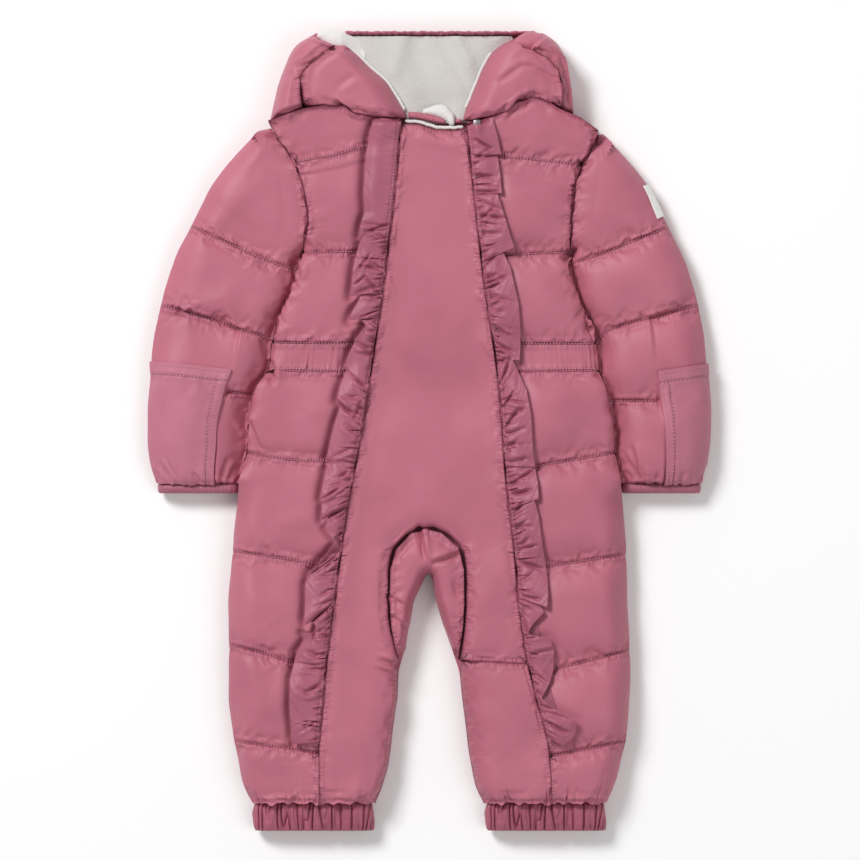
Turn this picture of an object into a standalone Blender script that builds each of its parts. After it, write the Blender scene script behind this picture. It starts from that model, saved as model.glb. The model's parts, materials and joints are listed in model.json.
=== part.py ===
"""Baby snowsuit laid flat on its back, in padded nylon, with two front ruffles and a fleece-lined hood.

It lies on z = 0 with its head towards +Y and its front up. Left and right are the wearer's, so the wearer's
left is +X. Tables and sizes are in millimetres, and MM turns them into Blender's metres.
"""

import math

import bmesh
import bpy
import numpy as np
from mathutils import Vector
from mathutils.bvhtree import BVHTree

MM = 0.001
GAP = 0.3  # between the pieces on each side of a seam
TOUCH = 1.3  # between pieces that only lie against each other

# Heights.
BACK_DEPTH = 14.0  # padded back, from the surface it lies on up to the empty inside
BACK_CEILING = BACK_DEPTH - GAP / 2
FRONT_FLOOR = BACK_DEPTH + GAP / 2
EDGE_WALL = 2.0  # what is left of a front panel at its free edge
LINING_WALL = 5.0
LINING_TOP = FRONT_FLOOR + LINING_WALL
LINING_INSET = 1.2
LINING_RISE = 2.0  # from the neck line
HOOD_CLEAR = 1.4  # between the hood's lower edge and the shoulder

# Roll of a padded edge, and how far in from a seam the padding is full.
SIDE_ROLL = 26.0
SLEEVE_ROLL = 22.0
MARGIN_ROLL = 16.0
HOOD_ROLL = 24.0
SEAM_ROLL = 20.0
BACK_ROLL = 13.0
RIM = 0.6  # a seam's own edge already stands this far into its roll
QUILT_NOTCH = 1.6  # a quilting seam pulls the outline in by this much
YOKE_START = 0.2  # the yoke is already this far into its puff where it meets the hood

# Padding: the height of a panel at its seams, then what its puff adds between them.
PADDING = {
    "front_upper_": (9, 15),
    "front_waist_": (9, 7),
    "front_lower_": (9, 16),
    "centre": (9, 15),
    "gusset": (8, 16),
    "sleeve": (8, 14),
    "hood_margin": (24, 6),
    "hood_side": (11, 17),
}
CHANNEL_FULLNESS = 2.4  # how square a quilted channel's puff is
MITT_FULLNESS = 3.5
END_ROLL = 16.0  # of the long plain panels, at the neck and the ankles
CROSS_ROLL = 12.0  # at the left leg's cross seam
ARCH_ROLL = 18.0  # round the crotch

# Edge lines, read down the garment: height y, then x.
SIDE_EDGE = {
    "right": [(290, -157), (278, -146), (257, -133), (241, -122), (221, -114), (192, -109), (163, -114),
              (138, -119), (123, -126), (104, -134), (80, -142), (56, -144), (40, -156), (12, -163),
              (-18, -164), (-45, -171), (-67, -173), (-112, -178), (-155, -181), (-198, -181), (-243, -181),
              (-279, -176), (-297, -172), (-315, -169), (-335, -161), (-345, -158)],
    "left": [(290, 159), (270, 153), (252, 144), (238, 137), (221, 130), (190, 127), (159, 127),
             (143, 125), (127, 132), (105, 139), (78, 151), (54, 152), (40, 158), (12, 164),
             (-18, 167), (-45, 172), (-67, 174), (-112, 178), (-155, 178), (-198, 181), (-243, 180),
             (-279, 177), (-297, 172), (-315, 168), (-335, 160), (-345, 157)],
}
FRONT_SEAM = {
    "right": [(290, -25), (279, -25), (243, -28), (195, -33), (142, -39), (70, -49), (22, -57), (-18, -63),
              (-75, -74), (-126, -81), (-175, -88), (-233, -94), (-285, -99), (-345, -99)],
    "left": [(290, 32), (272, 33), (243, 36), (178, 43), (142, 47), (68, 58), (31, 63), (-36, 67),
             (-104, 75), (-161, 80), (-208, 87), (-249, 98), (-279, 106), (-308, 109), (-345, 110)],
}
INNER_LEG = {
    "right": [(-98, -29), (-108, -34), (-120, -36.5), (-141, -37.5), (-158, -37.5), (-176, -36), (-192, -32),
              (-206, -28.5), (-217, -28.5), (-239, -28.5), (-261, -32), (-288, -35), (-304, -37.5),
              (-315, -41), (-325, -44), (-335, -49), (-345, -51)],
    "left": [(-98, 26), (-108, 30.5), (-120, 32.5), (-141, 33.5), (-158, 33), (-182, 31.5), (-205, 28),
             (-217, 27.5), (-239, 29), (-261, 32), (-288, 35), (-304, 38),
             (-315, 40), (-325, 43), (-335, 49), (-345, 51)],
}
BACK_INNER = {
    "right": [(60, -0.3), (-124, -0.3), (-134, -5), (-153, -14), (-174, -18), (-196, -22), (-217, -28),
              (-239, -28.5), (-261, -32), (-288, -35), (-304, -37.5), (-315, -41), (-325, -44), (-335, -49),
              (-345, -51)],
    "left": [(60, 0.3), (-124, 0.3), (-134, 3), (-153, 6), (-174, 12), (-196, 20), (-217, 27),
             (-239, 29), (-261, 32), (-288, 35), (-304, 38), (-315, 40), (-325, 43), (-335, 49),
             (-345, 51)],
}
SLEEVE_EDGE = {
    "right": [(280, -143), (272, -151), (258, -165), (236, -185), (215, -199), (193, -210), (171, -221),
              (150, -231), (128, -238), (107, -243), (85, -248), (63, -250), (48, -249), (20, -252),
              (-12, -252), (-34, -249), (-47, -243), (-55, -241)],
    "left": [(277, 147), (268, 155), (258, 164), (236, 185), (215, 200), (193, 210), (171, 221),
             (150, 231), (128, 238), (107, 243), (85, 247), (63, 249), (48, 250), (20, 252),
             (-12, 251), (-34, 248), (-48, 243), (-55, 241)],
}
HOOD_EDGE = {
    "right": [(362, -92), (358, -99), (355, -108), (351, -116), (344, -123), (333, -128), (312, -136),
              (290, -141), (276, -144)],
    "left": [(362, 92), (359, 98), (355, 108), (351, 113), (344, 118), (333, 123), (312, 127),
             (290, 129), (276, 130)],
}
HOOD_SEAM = {
    "right": [(352, -76), (347, -84), (335, -100), (326, -111), (318, -116), (302, -116), (286, -113)],
    "left": [(352, 75), (343, 86), (336, 103), (324, 115), (309, 119), (296, 119), (284, 119)],
}
FACE_EDGE = {
    "right": [(352, -84), (345, -74), (337, -63), (327, -54), (314, -38), (299, -29), (287, -22), (276, -19)],
    "left": [(362, 92), (357, 87), (351, 72), (342, 57), (325, 47), (309, 41), (293, 34), (281, 30), (272, 29)],
}

# Lines across, each a row of (x, y) points from the side of the garment to its middle.
SHOULDER = {
    "right": [(-146, 278), (-132, 283), (-114, 289), (-96, 292), (-80, 290), (-70, 285), (-49, 281),
              (-25, 278.5)],
    "left": [(153, 270), (137, 281), (122, 287), (112, 292), (95, 299), (81, 294), (70, 286), (55, 281),
             (33, 275)],
}
YOKE_QUILT = {
    "right": [[(-122, 241), (-84, 248), (-58, 256), (-28, 261)],
              [(-114, 160), (-37, 161)]],
    "left": [[(137, 239), (67, 246), (35, 250)],
             [(127, 160), (44, 157)]],
}
WAIST_LINES = {
    "right": [[(-142, 79), (-48, 78)], [(-145, 54), (-52, 53)]],
    "left": [[(150, 78), (57, 78)], [(152, 54), (60, 53)]],
}
LEG_QUILT = {
    "right": [[(-164, -20), (-126, -26), (-91, -28), (-66, -31)],
              [(-178, -108), (-104, -119), (-80, -122)],
              [(-181, -192), (-152, -199), (-123, -208), (-92, -216)],
              [(-176, -279), (-123, -285), (-99, -290)]],
    "left": [[(166, -20), (95, -32), (68, -36)],
             [(178, -111), (106, -122), (77, -126)],
             [(181, -197), (145, -206), (112, -214), (88, -218)],
             [(177, -279), (123, -289), (107, -292)]],
}
ANKLE_LINE = {"right": [(-161, -335), (-99, -335)], "left": [(160, -335), (110, -335)]}
SLEEVE_QUILT = {
    "right": [[(-153, 270), (-143, 272)],
              [(-210, 184), (-184, 171), (-160, 159), (-137, 149), (-120, 145)],
              [(-240, 113), (-216, 106), (-193, 99), (-171, 91), (-153, 86), (-142, 81)],
              [(-250, 62), (-177, 55), (-145, 54)],
              [(-250, 41), (-178, 34), (-160, 33)],
              [(-243, -47), (-171, -48)]],
    "left": [[(157, 265), (150, 264)],
             [(211, 183), (184, 172), (162, 162), (142, 155), (126, 149)],
             [(242, 113), (217, 106), (189, 99), (162, 91), (151, 80)],
             [(250, 60), (205, 53), (155, 52)],
             [(251, 37), (204, 27), (160, 27)],
             [(243, -47), (172, -48)]],
}
NAPE_POINT = (4, 274)
NECKLINE = [(-25, 276), (-9, 275), (5, 270.5), (20, 269.5), (33, 270.5)]
CROTCH_ARCH = [(-80, -112), (-52, -108), (-32, -104), (-22, -94), (-10, -86.5), (4, -86.5), (17, -93),
               (28, -103), (52, -106), (76, -109)]
CROWN_TOP = [(-98, 357.5), (98, 357.5)]
CROWN_FOOT_ENDS = [(-143.5, 279), (130, 283.5)]
MARGIN_LINES = {
    "right": ([(-99, 356), (-85, 347)], [(-143, 279.8), (-132, 283.6), (-113.5, 289.8)]),
    "left": ([(98, 357), (87, 344)], [(129.5, 284.8), (119.5, 288.8)]),
}
STRIP_COLUMNS = (0, 0.18, 0.5, 0.82, 1)
STRIP_ROLL = 3.0
CASING_X = (-76, 95)
CASING_Y = (355.2, 359.6)
CASING_GATHERS = 20
CASING_DEPTH = 0.35  # share of its height
NECK_BAND = {  # x, lower y, upper y
    "right": [(-19, 281, 286.5), (-9, 280, 286), (2, 277.5, 284), (11, 276, 281), (14, 276, 278.5)],
    "left": [(23.5, 276.5, 280), (28.5, 276, 280)],
}
NAPE_FOLD = [  # x, lower y, upper y
    (-6, 287, 289), (0, 286, 291), (6, 285, 293), (11, 283, 293.5), (15.2, 281, 292), (19, 276.5, 288),
    (22.5, 276.5, 284),
]
FLEECE_EDGE_X = (-22, 30.5)
FLEECE_EDGE_RADIUS = 1.5
FLEECE_EDGE_UP = (2.4, 10)  # up the garment from the neckline, and above the front's floor
LINING_TOP_LINE = [(-76, 354.5), (75, 354.5)]
LINING_FOOT_ENDS = [(-112, 291.5), (118, 291)]
HOOD_TOPS = {"right": [(-85, 347.5), (-82.5, 347)], "left": [(85.5, 345), (88, 355)]}
HOOD_FOOT_ENDS = {"right": [(-113, 290), (-20, 279.5)], "left": [(119, 289), (30, 277.5)]}
BACK_WAIST = ([(-142, 79), (151, 78)], [(-145, 54), (152, 54)])
BACK_LEG_LINES = [  # on the left: x at the outside and y, then x at the inside and y
    (148, 54 - GAP / 2, 0.5, 54 - GAP / 2), (173, -67, 0.5, -67), (178, -112, 0.5, -122), (181, -200, 25, -200),
    (160, -335 + GAP / 2, 49, -335 + GAP / 2),
]
BACK_CROTCH = -126  # the back legs are sewn together above this height
LEFT_CROSS_SEAM = [(88, -209), (28, -206)]
ANKLE_END = -335 + GAP / 2
SHIN_END = [(110, ANKLE_END), (49, ANKLE_END)]

# The gusset's sections, from the right inner leg over the crotch to the left: outer end, then inner end.
GUSSET = [  # x, y, x, y
    (-28.5, -207, -26.5, -207.5),
    (-32, -195, -21.5, -197),
    (-35.3, -176, -18, -175),
    (-36.7, -152, -13.5, -154),
    (-35.8, -124, -8, -141),
    (-30.5, -106, -5, -133),
    (-17, -91.5, -3, -130),
    (-3, -87.5, -1.5, -129),
    (11, -91, 0.5, -129.5),
    (26.5, -104, 2.5, -132),
    (31.6, -124, 4, -141),
    (32.2, -152, 6, -154),
    (31, -176, 12.5, -175),
    (28.4, -195, 20, -196),
    (26.8, -205, 25, -205.5),
]
GUSSET_BETWEEN = 2  # sections between two rows of the table
GUSSET_INSET = 0.9  # from the legs' seam
GUSSET_FOOT = -203  # its two ends
GUSSET_ROLL = 9.0
GUSSET_END_ROLL = 14.0

# The ruffles' free edges: height y, then x.
RUFFLE_EDGE = {
    "right": [(286, -48), (263, -53), (234, -59), (194, -59), (178, -64), (165, -63), (143, -68), (117, -71),
              (98, -73), (84, -69), (57, -77), (27, -84), (9, -87), (-27, -92), (-62, -98), (-83, -98),
              (-107, -97), (-131, -110), (-140, -111), (-182, -112), (-207, -122), (-243, -126), (-284, -122)],
    "left": [(280, 57), (247, 65), (212, 64), (163, 76), (155, 68), (139, 74), (125, 80), (103, 81), (66, 81),
             (38, 88), (-25, 92), (-59, 98), (-97, 99), (-140, 106), (-163, 101), (-189, 109), (-204, 112),
             (-221, 111), (-236, 106), (-250, 117), (-263, 131), (-272, 131), (-284, 120)],
}
WRIST_INSET = (1.5, 3.0)  # of the binding from the sleeve's outer and inner edge
WRIST_RINGS = [  # y, height, drawn in at the sides
    (-48.6, 21, 0.0), (-52, 22.5, -0.4), (-56, 20, 1.0),
]
ANKLE_CUFFS = {"right": (-159.5, -48.5), "left": (49.5, 160)}
ANKLE_RINGS = [  # y, height, drawn in at the sides
    (-335.3, 25, 2.0), (-340, 27, 0.0), (-353, 27, 0.0), (-360, 23, 1.0),
]
ANKLE_FOLDS = 14
ANKLE_FOLD_DEPTH = 4.0
TUBE_BELLY = 0.45  # share of a flattened tube's height where it is widest
TUBE_SLOT = 1.0  # open slot through its middle
TUBE_WALL = 5.0  # at its two sides
RUFFLE_ENDS = {"right": (276, -282), "left": (265, -282)}
RUFFLE_WAVES = 22
RUFFLE_WALL = 1.2
RUFFLE_LIFT = 5.5  # a wave's height at the free edge
RUFFLE_DROOP = 3.0  # and how far its crest leans down the garment
RUFFLE_SEAM = 1.2  # from the front seam
RUFFLE_CLEAR = (0, 2.5)  # how far out the panel below is looked for
RUFFLE_SECTION = (  # share of the width out from the seam, clearance over the panel
    (0.0, 1.0), (0.16, 2.9), (0.4, 2.3), (0.7, 1.6), (1.0, 1.3),
)
RUFFLE_SAMPLES = 4  # along each wave
ZIP_SLIDER = (42.5, 270.0)
SLIDER_SIZE = (6, 8, 3)
SLIDER_BEVEL = 0.9
SLIDER_LIFT = 3.4  # its middle over the tape, which curves under it
ZIP_TAPE_HEIGHTS = (1.0, 1.9)  # its two faces, over the side front
MITT_HEIGHTS = (0.45, 3.2)
BADGE_HEIGHTS = (0.45, 1.5)

# Columns, as shares of a piece's width, and rows, as shares of the way from one line to the next.
SIDE_COLUMNS = (0, 0.025, 0.09, 0.2, 0.4, 0.64, 0.83, 0.94, 1)
SLEEVE_COLUMNS = (0, 0.025, 0.1, 0.26, 0.465, 0.7, 0.87, 0.97, 1)
MITT_COLUMNS = {"right": 6, "left": 5}  # the mitt covers the sleeve's first columns
MITT_LINE = 3  # and starts at this line across the sleeve, which isn't a quilting seam
BADGE_ROWS = slice(5, 10)
CENTRE_COLUMNS = (0, 0.04, 0.12, 0.2, 0.262, 0.297, 0.308, 0.4, 0.5, 0.6, 0.692, 0.703, 0.738, 0.8, 0.88,
                  0.96, 1)
LEG_SPLIT = (6, 10)  # the centre panel's columns at the arch's two shoulders
TORSO_STEPS = tuple(np.linspace(0, 1, 21)[:-1])
LEG_ROW = 12.0  # between rows down a leg
SHIN_COLUMNS = (0, 0.06, 0.2, 0.42, 0.7, 0.88, 0.97, 1)
GUSSET_COLUMNS = (0, 0.12, 0.36, 0.66, 0.9, 1)
BACK_COLUMNS = (0, 0.015, 0.05, 0.12, 0.5, 0.88, 0.95, 0.985, 1)
LEG_BACK_COLUMNS = (0, 0.02, 0.08, 0.2, 0.6, 0.85, 0.95, 1)
MARGIN_COLUMNS = (0, 0.12, 0.35, 0.65, 0.88, 1)
LINING_COLUMNS = (0, 0.1, 0.3, 0.5, 0.7, 0.9, 1)
HOOD_COLUMNS = (0, 0.08, 0.24, 0.45, 0.66, 0.84, 0.95, 1)
QUILT_STEPS = (0, 0.08, 0.24, 0.5, 0.76, 0.92)
CROWN_STEPS = (0, 0.06, 0.14, 0.24, 0.36, 0.48, 0.6, 0.72, 0.84, 0.94)
BAND_STEPS = (0, 0.25, 0.5, 0.75)
EDGE_STEPS = (0, 0.03, 0.1, 0.2, 0.3, 0.4, 0.5, 0.6, 0.7, 0.8, 0.9, 0.97)
EVEN_STEPS = (0, 0.17, 0.34, 0.5, 0.66, 0.83)

# Colours.
NYLON = (0.497, 0.159, 0.227)
RUFFLE_NYLON = (0.434, 0.150, 0.223)
BINDING_NYLON = (0.462, 0.168, 0.238)
FLEECE = (0.815, 0.815, 0.786)
METAL = (0.55, 0.50, 0.50)
BADGE_WHITE = (0.85, 0.85, 0.84)

SIGN = {"right": -1, "left": 1}
SHARP_FROM = 50  # degrees between faces that show a crease


def material(name, colour, roughness, metallic=0.0):
    made = bpy.data.materials.new(name)
    made.use_nodes = True
    shader = made.node_tree.nodes["Principled BSDF"]
    shader.inputs["Base Color"].default_value = (*colour, 1)
    shader.inputs["Roughness"].default_value = roughness
    shader.inputs["Metallic"].default_value = metallic
    made.diffuse_color = (*colour, 1)
    return made


def follow(edge, slip=0.0, rounding=7.0):
    """A function of height y that gives x on an edge line, its corners rounded, moved across by slip."""
    heights = [row[0] for row in edge[::-1]]
    across = [row[1] for row in edge[::-1]]
    window = np.linspace(-rounding, rounding, 9)
    return lambda y: float(np.interp(y + window, heights, across).mean()) + slip


def line_points(line, shares):
    """Points of a line across, at shares of its width."""
    table = np.array(line, float)
    across = table[0, 0] + (table[-1, 0] - table[0, 0]) * np.array(shares)
    order = np.argsort(table[:, 0])
    return np.column_stack([across, np.interp(across, table[order, 0], table[order, 1])])


def lowered(line, drop):
    return [(x, y - drop) for x, y in line]


def ladder(lines, edges, columns, steps, notch=0.0):
    """Rows of (x, y) points from line to line between two edges, and each row's share t of its own channel.

    steps is one tuple of shares for every channel, or a list with one for each.
    """
    columns = np.array(columns)
    drawn = [line_points(line, columns) for line in lines]
    if not isinstance(steps, list):
        steps = [steps] * (len(lines) - 1)
    rows, places = [], []
    for upper, lower, shares in zip(drawn, drawn[1:], steps):
        for step in shares:
            rows.append(upper + (lower - upper) * step)
            places.append(step)
    rows.append(drawn[-1])
    places.append(1.0)
    for row, place in zip(rows, places):
        first = edges[0](row[0][1]) - row[0][0]
        last = edges[1](row[-1][1]) - row[-1][0]
        row[:, 0] += first * (1 - columns) + last * columns
        pull = notch * (1 - quilted(place, CHANNEL_FULLNESS)) * np.sign(row[-1][0] - row[0][0])
        row[:, 0] += pull * (1 - columns)
    return np.array(rows), np.array(places)


def quilted(place, fullness):
    """Swell of a channel from 0 at its two seams to 1 between them."""
    return (1 - np.abs(2 * np.asarray(place) - 1) ** fullness) ** 0.6


def hem(distance, roll):
    """Quarter-round rise from 0 at an edge to 1 at roll from it."""
    return np.sqrt(1 - (1 - np.clip(distance / roll, 0, 1)) ** 2)


def reach(grid, column):
    """Distance of each point of the rows from the one in this column."""
    return np.linalg.norm(grid - grid[:, column][:, None], axis=2)


def end_reach(grid, row):
    return np.linalg.norm(grid - grid[row][None], axis=2)


def with_height(grid, height):
    return np.dstack([grid, height])


def front_height(grid, swell, seam, puff, free=(1, 0), floor=FRONT_FLOOR, side_roll=SIDE_ROLL, ends=(0, 0)):
    """Top of a padded front panel.

    swell is each row's share of the puff. free says how far each side is a free, rolled edge (1) and not a
    seam (0), as numbers or one for each row. ends is the roll of the top and bottom ends, 0 at a seam.
    """
    body = np.ones(grid.shape[:2])
    full = np.ones(grid.shape[:2])
    for column, share in ((0, free[0]), (-1, free[1])):
        share = np.broadcast_to(share, grid.shape[0])[:, None]
        body *= 1 - share * (1 - hem(reach(grid, column), side_roll))
        full *= hem(reach(grid, column) + RIM, SEAM_ROLL)
    for row, roll in ((0, ends[0]), (-1, ends[1])):
        if roll:
            body *= hem(end_reach(grid, row), roll)
    if np.ndim(swell) == 1:
        swell = np.asarray(swell)[:, None]
    return floor + EDGE_WALL + body * (seam + puff * full * swell)


def back_height(grid, free=(1, 1), ends=(0, 0)):
    """Underside of a padded back panel: flat on the surface, and rolled up at its free edges."""
    body = np.ones(grid.shape[:2])
    for column, share in ((0, free[0]), (-1, free[1])):
        share = np.broadcast_to(share, grid.shape[0])[:, None]
        body *= 1 - share * (1 - hem(reach(grid, column), BACK_ROLL))
    for row, roll in ((0, ends[0]), (-1, ends[1])):
        if roll:
            body *= hem(end_reach(grid, row), roll)
    return (BACK_DEPTH - EDGE_WALL) * (1 - body)


def lay_grid(mesh, points):
    """A grid of faces through rows of points."""
    rows, columns = points.shape[:2]
    made = bmesh.ops.create_grid(mesh, x_segments=columns - 1, y_segments=rows - 1, size=1)
    for vert in made["verts"]:
        i = round((vert.co.y + 1) / 2 * (rows - 1))
        j = round((vert.co.x + 1) / 2 * (columns - 1))
        vert.co = Vector(points[i, j]) * MM


def close_onto(mesh, height):
    """Walls from the open rim straight to a level, and one flat face across it."""
    rim = [edge for edge in mesh.edges if edge.is_boundary]
    walls = bmesh.ops.extrude_edge_only(mesh, edges=rim)["geom"]
    for part in walls:
        if isinstance(part, bmesh.types.BMVert):
            part.co.z = height * MM
    foot = [edge for edge in mesh.edges if edge.is_boundary]
    bmesh.ops.contextual_create(mesh, geom=foot)


def finished(mesh, name, cloth):
    """The object made from a mesh."""
    bmesh.ops.recalc_face_normals(mesh, faces=mesh.faces)
    data = bpy.data.meshes.new(name)
    mesh.to_mesh(data)
    mesh.free()
    data.materials.append(cloth)
    data.shade_smooth()
    data.set_sharp_from_angle(angle=math.radians(SHARP_FROM))
    made = bpy.data.objects.new(name, data)
    suit.objects.link(made)
    return made


def slab(name, grids, level, cloth):
    """A closed panel between rows of surface points, joined where they share points, and a flat level."""
    mesh = bmesh.new()
    for points in grids:
        lay_grid(mesh, points)
    bmesh.ops.remove_doubles(mesh, verts=mesh.verts, dist=0.02 * MM)
    close_onto(mesh, level)
    return finished(mesh, name, cloth)


def normals_of(points):
    down = np.gradient(points, axis=0)
    across = np.gradient(points, axis=1)
    normal = np.cross(down, across)
    normal /= np.linalg.norm(normal, axis=2)[:, :, None]
    return normal * np.sign(normal[:, :, 2:3].mean())


def overlay(name, points, low, high, cloth):
    """A sheet that lies on a panel, made from the panel's points moved out by low and by high."""
    normal = normals_of(points)
    mesh = bmesh.new()
    lay_grid(mesh, points + normal * low)
    lay_grid(mesh, points + normal * high)
    bmesh.ops.bridge_loops(mesh, edges=[edge for edge in mesh.edges if edge.is_boundary])
    return finished(mesh, name, cloth)


def tube(name, sections, cloth):
    """A closed band through loops of points, the last section being the first again."""
    mesh = bmesh.new()
    lay_grid(mesh, sections)
    bmesh.ops.remove_doubles(mesh, verts=mesh.verts, dist=0.01 * MM)
    return finished(mesh, name, cloth)


def tree_of(made):
    """The object's surface, to find heights on it."""
    mesh = bmesh.new()
    mesh.from_mesh(made.data)
    tree = BVHTree.FromBMesh(mesh)
    mesh.free()
    return tree


def height_on(trees, x, y):
    """Height of the highest of these surfaces at a place, or None off them."""
    above = Vector((x * MM, y * MM, 1.0))
    hits = [tree.ray_cast(above, Vector((0, 0, -1)))[0] for tree in trees]
    return max((hit.z / MM for hit in hits if hit), default=None)


def outward(side, amount):
    return SIGN[side] * amount


def neck_line():
    """The line round the neck at the back, from shoulder to shoulder."""
    return SHOULDER["right"] + [NAPE_POINT] + SHOULDER["left"][::-1]


# ---------------------------------------------------------------- front


def side_fronts(side):
    """The quilted side front in three pieces: above the waist, the waist casing and below it."""
    armhole = follow(SIDE_EDGE[side], -outward(side, TOUCH / 2))
    edges = (armhole, follow(FRONT_SEAM[side], outward(side, GAP / 2)))
    waist_top, waist_bottom = WAIST_LINES[side]
    upper = [lowered(SHOULDER[side], GAP), *YOKE_QUILT[side], lowered(waist_top, -GAP / 2)]
    waist = [lowered(waist_top, GAP / 2), lowered(waist_bottom, -GAP / 2)]
    lower = [lowered(waist_bottom, GAP / 2), *LEG_QUILT[side], lowered(ANKLE_LINE[side], -GAP / 2)]
    pieces = (
        ("front_upper_", upper, QUILT_STEPS, QUILT_NOTCH),
        ("front_waist_", waist, BAND_STEPS, 0.0),
        ("front_lower_", lower, QUILT_STEPS, QUILT_NOTCH),
    )
    surfaces = []
    for name, lines, steps, notch in pieces:
        grid, places = ladder(lines, edges, SIDE_COLUMNS, steps, notch)
        swell = quilted(places, CHANNEL_FULLNESS)
        if name == "front_upper_":
            yoke = np.arange(len(places)) < len(steps)
            swell[yoke] = quilted(YOKE_START + (1 - YOKE_START) * places[yoke], CHANNEL_FULLNESS)
        points = with_height(grid, front_height(grid, swell, *PADDING[name]))
        slab(name + side, [points], FRONT_FLOOR, nylon)
        surfaces.append(points)
    return surfaces


def leg_rows(start, seam_foot, inner_foot, side):
    """Rows of the centre panel down one leg, from the points of the row above to the heights of its foot.

    The points run from the front seam to the inner leg.
    """
    seam_edge = follow(FRONT_SEAM[side], -outward(side, GAP / 2))
    inner_edge = follow(INNER_LEG[side])
    along = np.linalg.norm(start - start[0], axis=1)
    shares = along / along[-1]
    foot_x = seam_edge(seam_foot) + (inner_edge(inner_foot) - seam_edge(seam_foot)) * shares
    foot = np.column_stack([foot_x, seam_foot + (inner_foot - seam_foot) * shares])
    count = round(abs(seam_foot - start[0][1]) / LEG_ROW)
    rows = [start]
    for k in range(1, count + 1):
        row = start + (foot - start) * (k / count)
        row[:, 0] += (seam_edge(row[0][1]) - row[0][0]) * (1 - shares)
        row[:, 0] += (inner_edge(row[-1][1]) - row[-1][0]) * shares
        rows.append(row)
    return np.array(rows)


def plain_swell(grid, top_roll=0.0, bottom_roll=0.0):
    """Swell of a long plain piece: 1, falling to 0 over a roll at an end that is sewn."""
    swell = np.ones(grid.shape[:2])
    for row, roll in ((0, top_roll), (-1, bottom_roll)):
        if roll:
            swell *= hem(end_reach(grid, row), roll)
    return swell


def leg_height(grid, swell):
    """Top of the centre panel's legs, whose inner edge is sewn to the gusset above and free below it."""
    inner_free = np.clip((GUSSET_FOOT - grid[:, -1, 1]) / GUSSET_END_ROLL, 0, 1)
    return front_height(grid, swell, *PADDING["centre"], free=(0, inner_free))


def centre_fronts():
    """The wide plain centre panel down to both legs, and the piece below its cross seam on the left leg."""
    edges = (follow(FRONT_SEAM["right"], GAP / 2), follow(FRONT_SEAM["left"], -GAP / 2))
    split_right, split_left = LEG_SPLIT
    upper, _ = ladder([NECKLINE, CROTCH_ARCH], edges, CENTRE_COLUMNS, TORSO_STEPS)
    right = leg_rows(upper[-1, : split_right + 1], ANKLE_END, ANKLE_END, "right")
    (_, seam_end), (_, inner_end) = lowered(LEFT_CROSS_SEAM, -GAP)
    left = leg_rows(upper[-1, split_left:][::-1], seam_end, inner_end, "left")
    shin_edges = (follow(FRONT_SEAM["left"], -GAP / 2), follow(INNER_LEG["left"]))
    shin, _ = ladder([LEFT_CROSS_SEAM, SHIN_END], shin_edges, SHIN_COLUMNS, EDGE_STEPS)

    arch = upper[-1, split_right : split_left + 1]
    to_arch = np.min([np.linalg.norm(upper - point, axis=2) for point in arch], axis=0)
    upper_swell = plain_swell(upper, top_roll=END_ROLL) * hem(to_arch + RIM, ARCH_ROLL)
    upper_z = front_height(upper, upper_swell, *PADDING["centre"], free=(0, 0))
    right_z = leg_height(right, plain_swell(right, bottom_roll=END_ROLL))
    left_z = leg_height(left, plain_swell(left, bottom_roll=CROSS_ROLL))
    right_z[0] = upper_z[-1, : split_right + 1]
    left_z[0] = upper_z[-1, split_left:][::-1]
    slab("front_centre", [with_height(upper, upper_z), with_height(right, right_z), with_height(left, left_z)],
         FRONT_FLOOR, nylon)
    shin_z = leg_height(shin, plain_swell(shin, CROSS_ROLL, END_ROLL))
    slab("shin_left", [with_height(shin, shin_z)], FRONT_FLOOR, nylon)


def gusset():
    """The puffy horseshoe that the legs' inner edges and the crotch are cut from."""
    table = np.array(GUSSET)
    count = (len(table) - 1) * GUSSET_BETWEEN + 1
    at = np.linspace(0, len(table) - 1, count)
    ends = np.column_stack([np.interp(at, range(len(table)), table[:, k]) for k in range(4)])
    across = ends[:, 2:] - ends[:, :2]
    ends[:, :2] += across / np.linalg.norm(across, axis=1)[:, None] * GUSSET_INSET
    shares = np.array(GUSSET_COLUMNS)[None, :, None]
    grid = ends[:, None, :2] * (1 - shares) + ends[:, None, 2:] * shares
    height = front_height(grid, 1.0, *PADDING["gusset"], free=(0, 1), side_roll=GUSSET_ROLL,
                          ends=(GUSSET_END_ROLL, GUSSET_END_ROLL))
    slab("crotch_gusset", [with_height(grid, height)], FRONT_FLOOR, nylon)


# ---------------------------------------------------------------- sleeves


def row_of_line(line):
    """The row of the sleeve that lies on one of its lines."""
    return len(CROWN_STEPS) + (line - 1) * len(QUILT_STEPS)


def sleeve_swell(grid, places, covered):
    """Puff of a sleeve: quilted where it shows, and one plain puff under the mitt's columns."""
    height = grid[:, 0, 1]
    first, last = row_of_line(MITT_LINE - 1), row_of_line(MITT_LINE + 1)
    swell = quilted(places, CHANNEL_FULLNESS)
    swell[first:last] = quilted((height[first] - height[first:last]) / (height[first] - height[last]),
                                CHANNEL_FULLNESS)
    both = np.repeat(swell[:, None], grid.shape[1], axis=1)
    plain = quilted((height[first] - height[first:]) / (height[first] - height[-1]), MITT_FULLNESS)
    both[first:, :covered] = plain[:, None]
    return both


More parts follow.
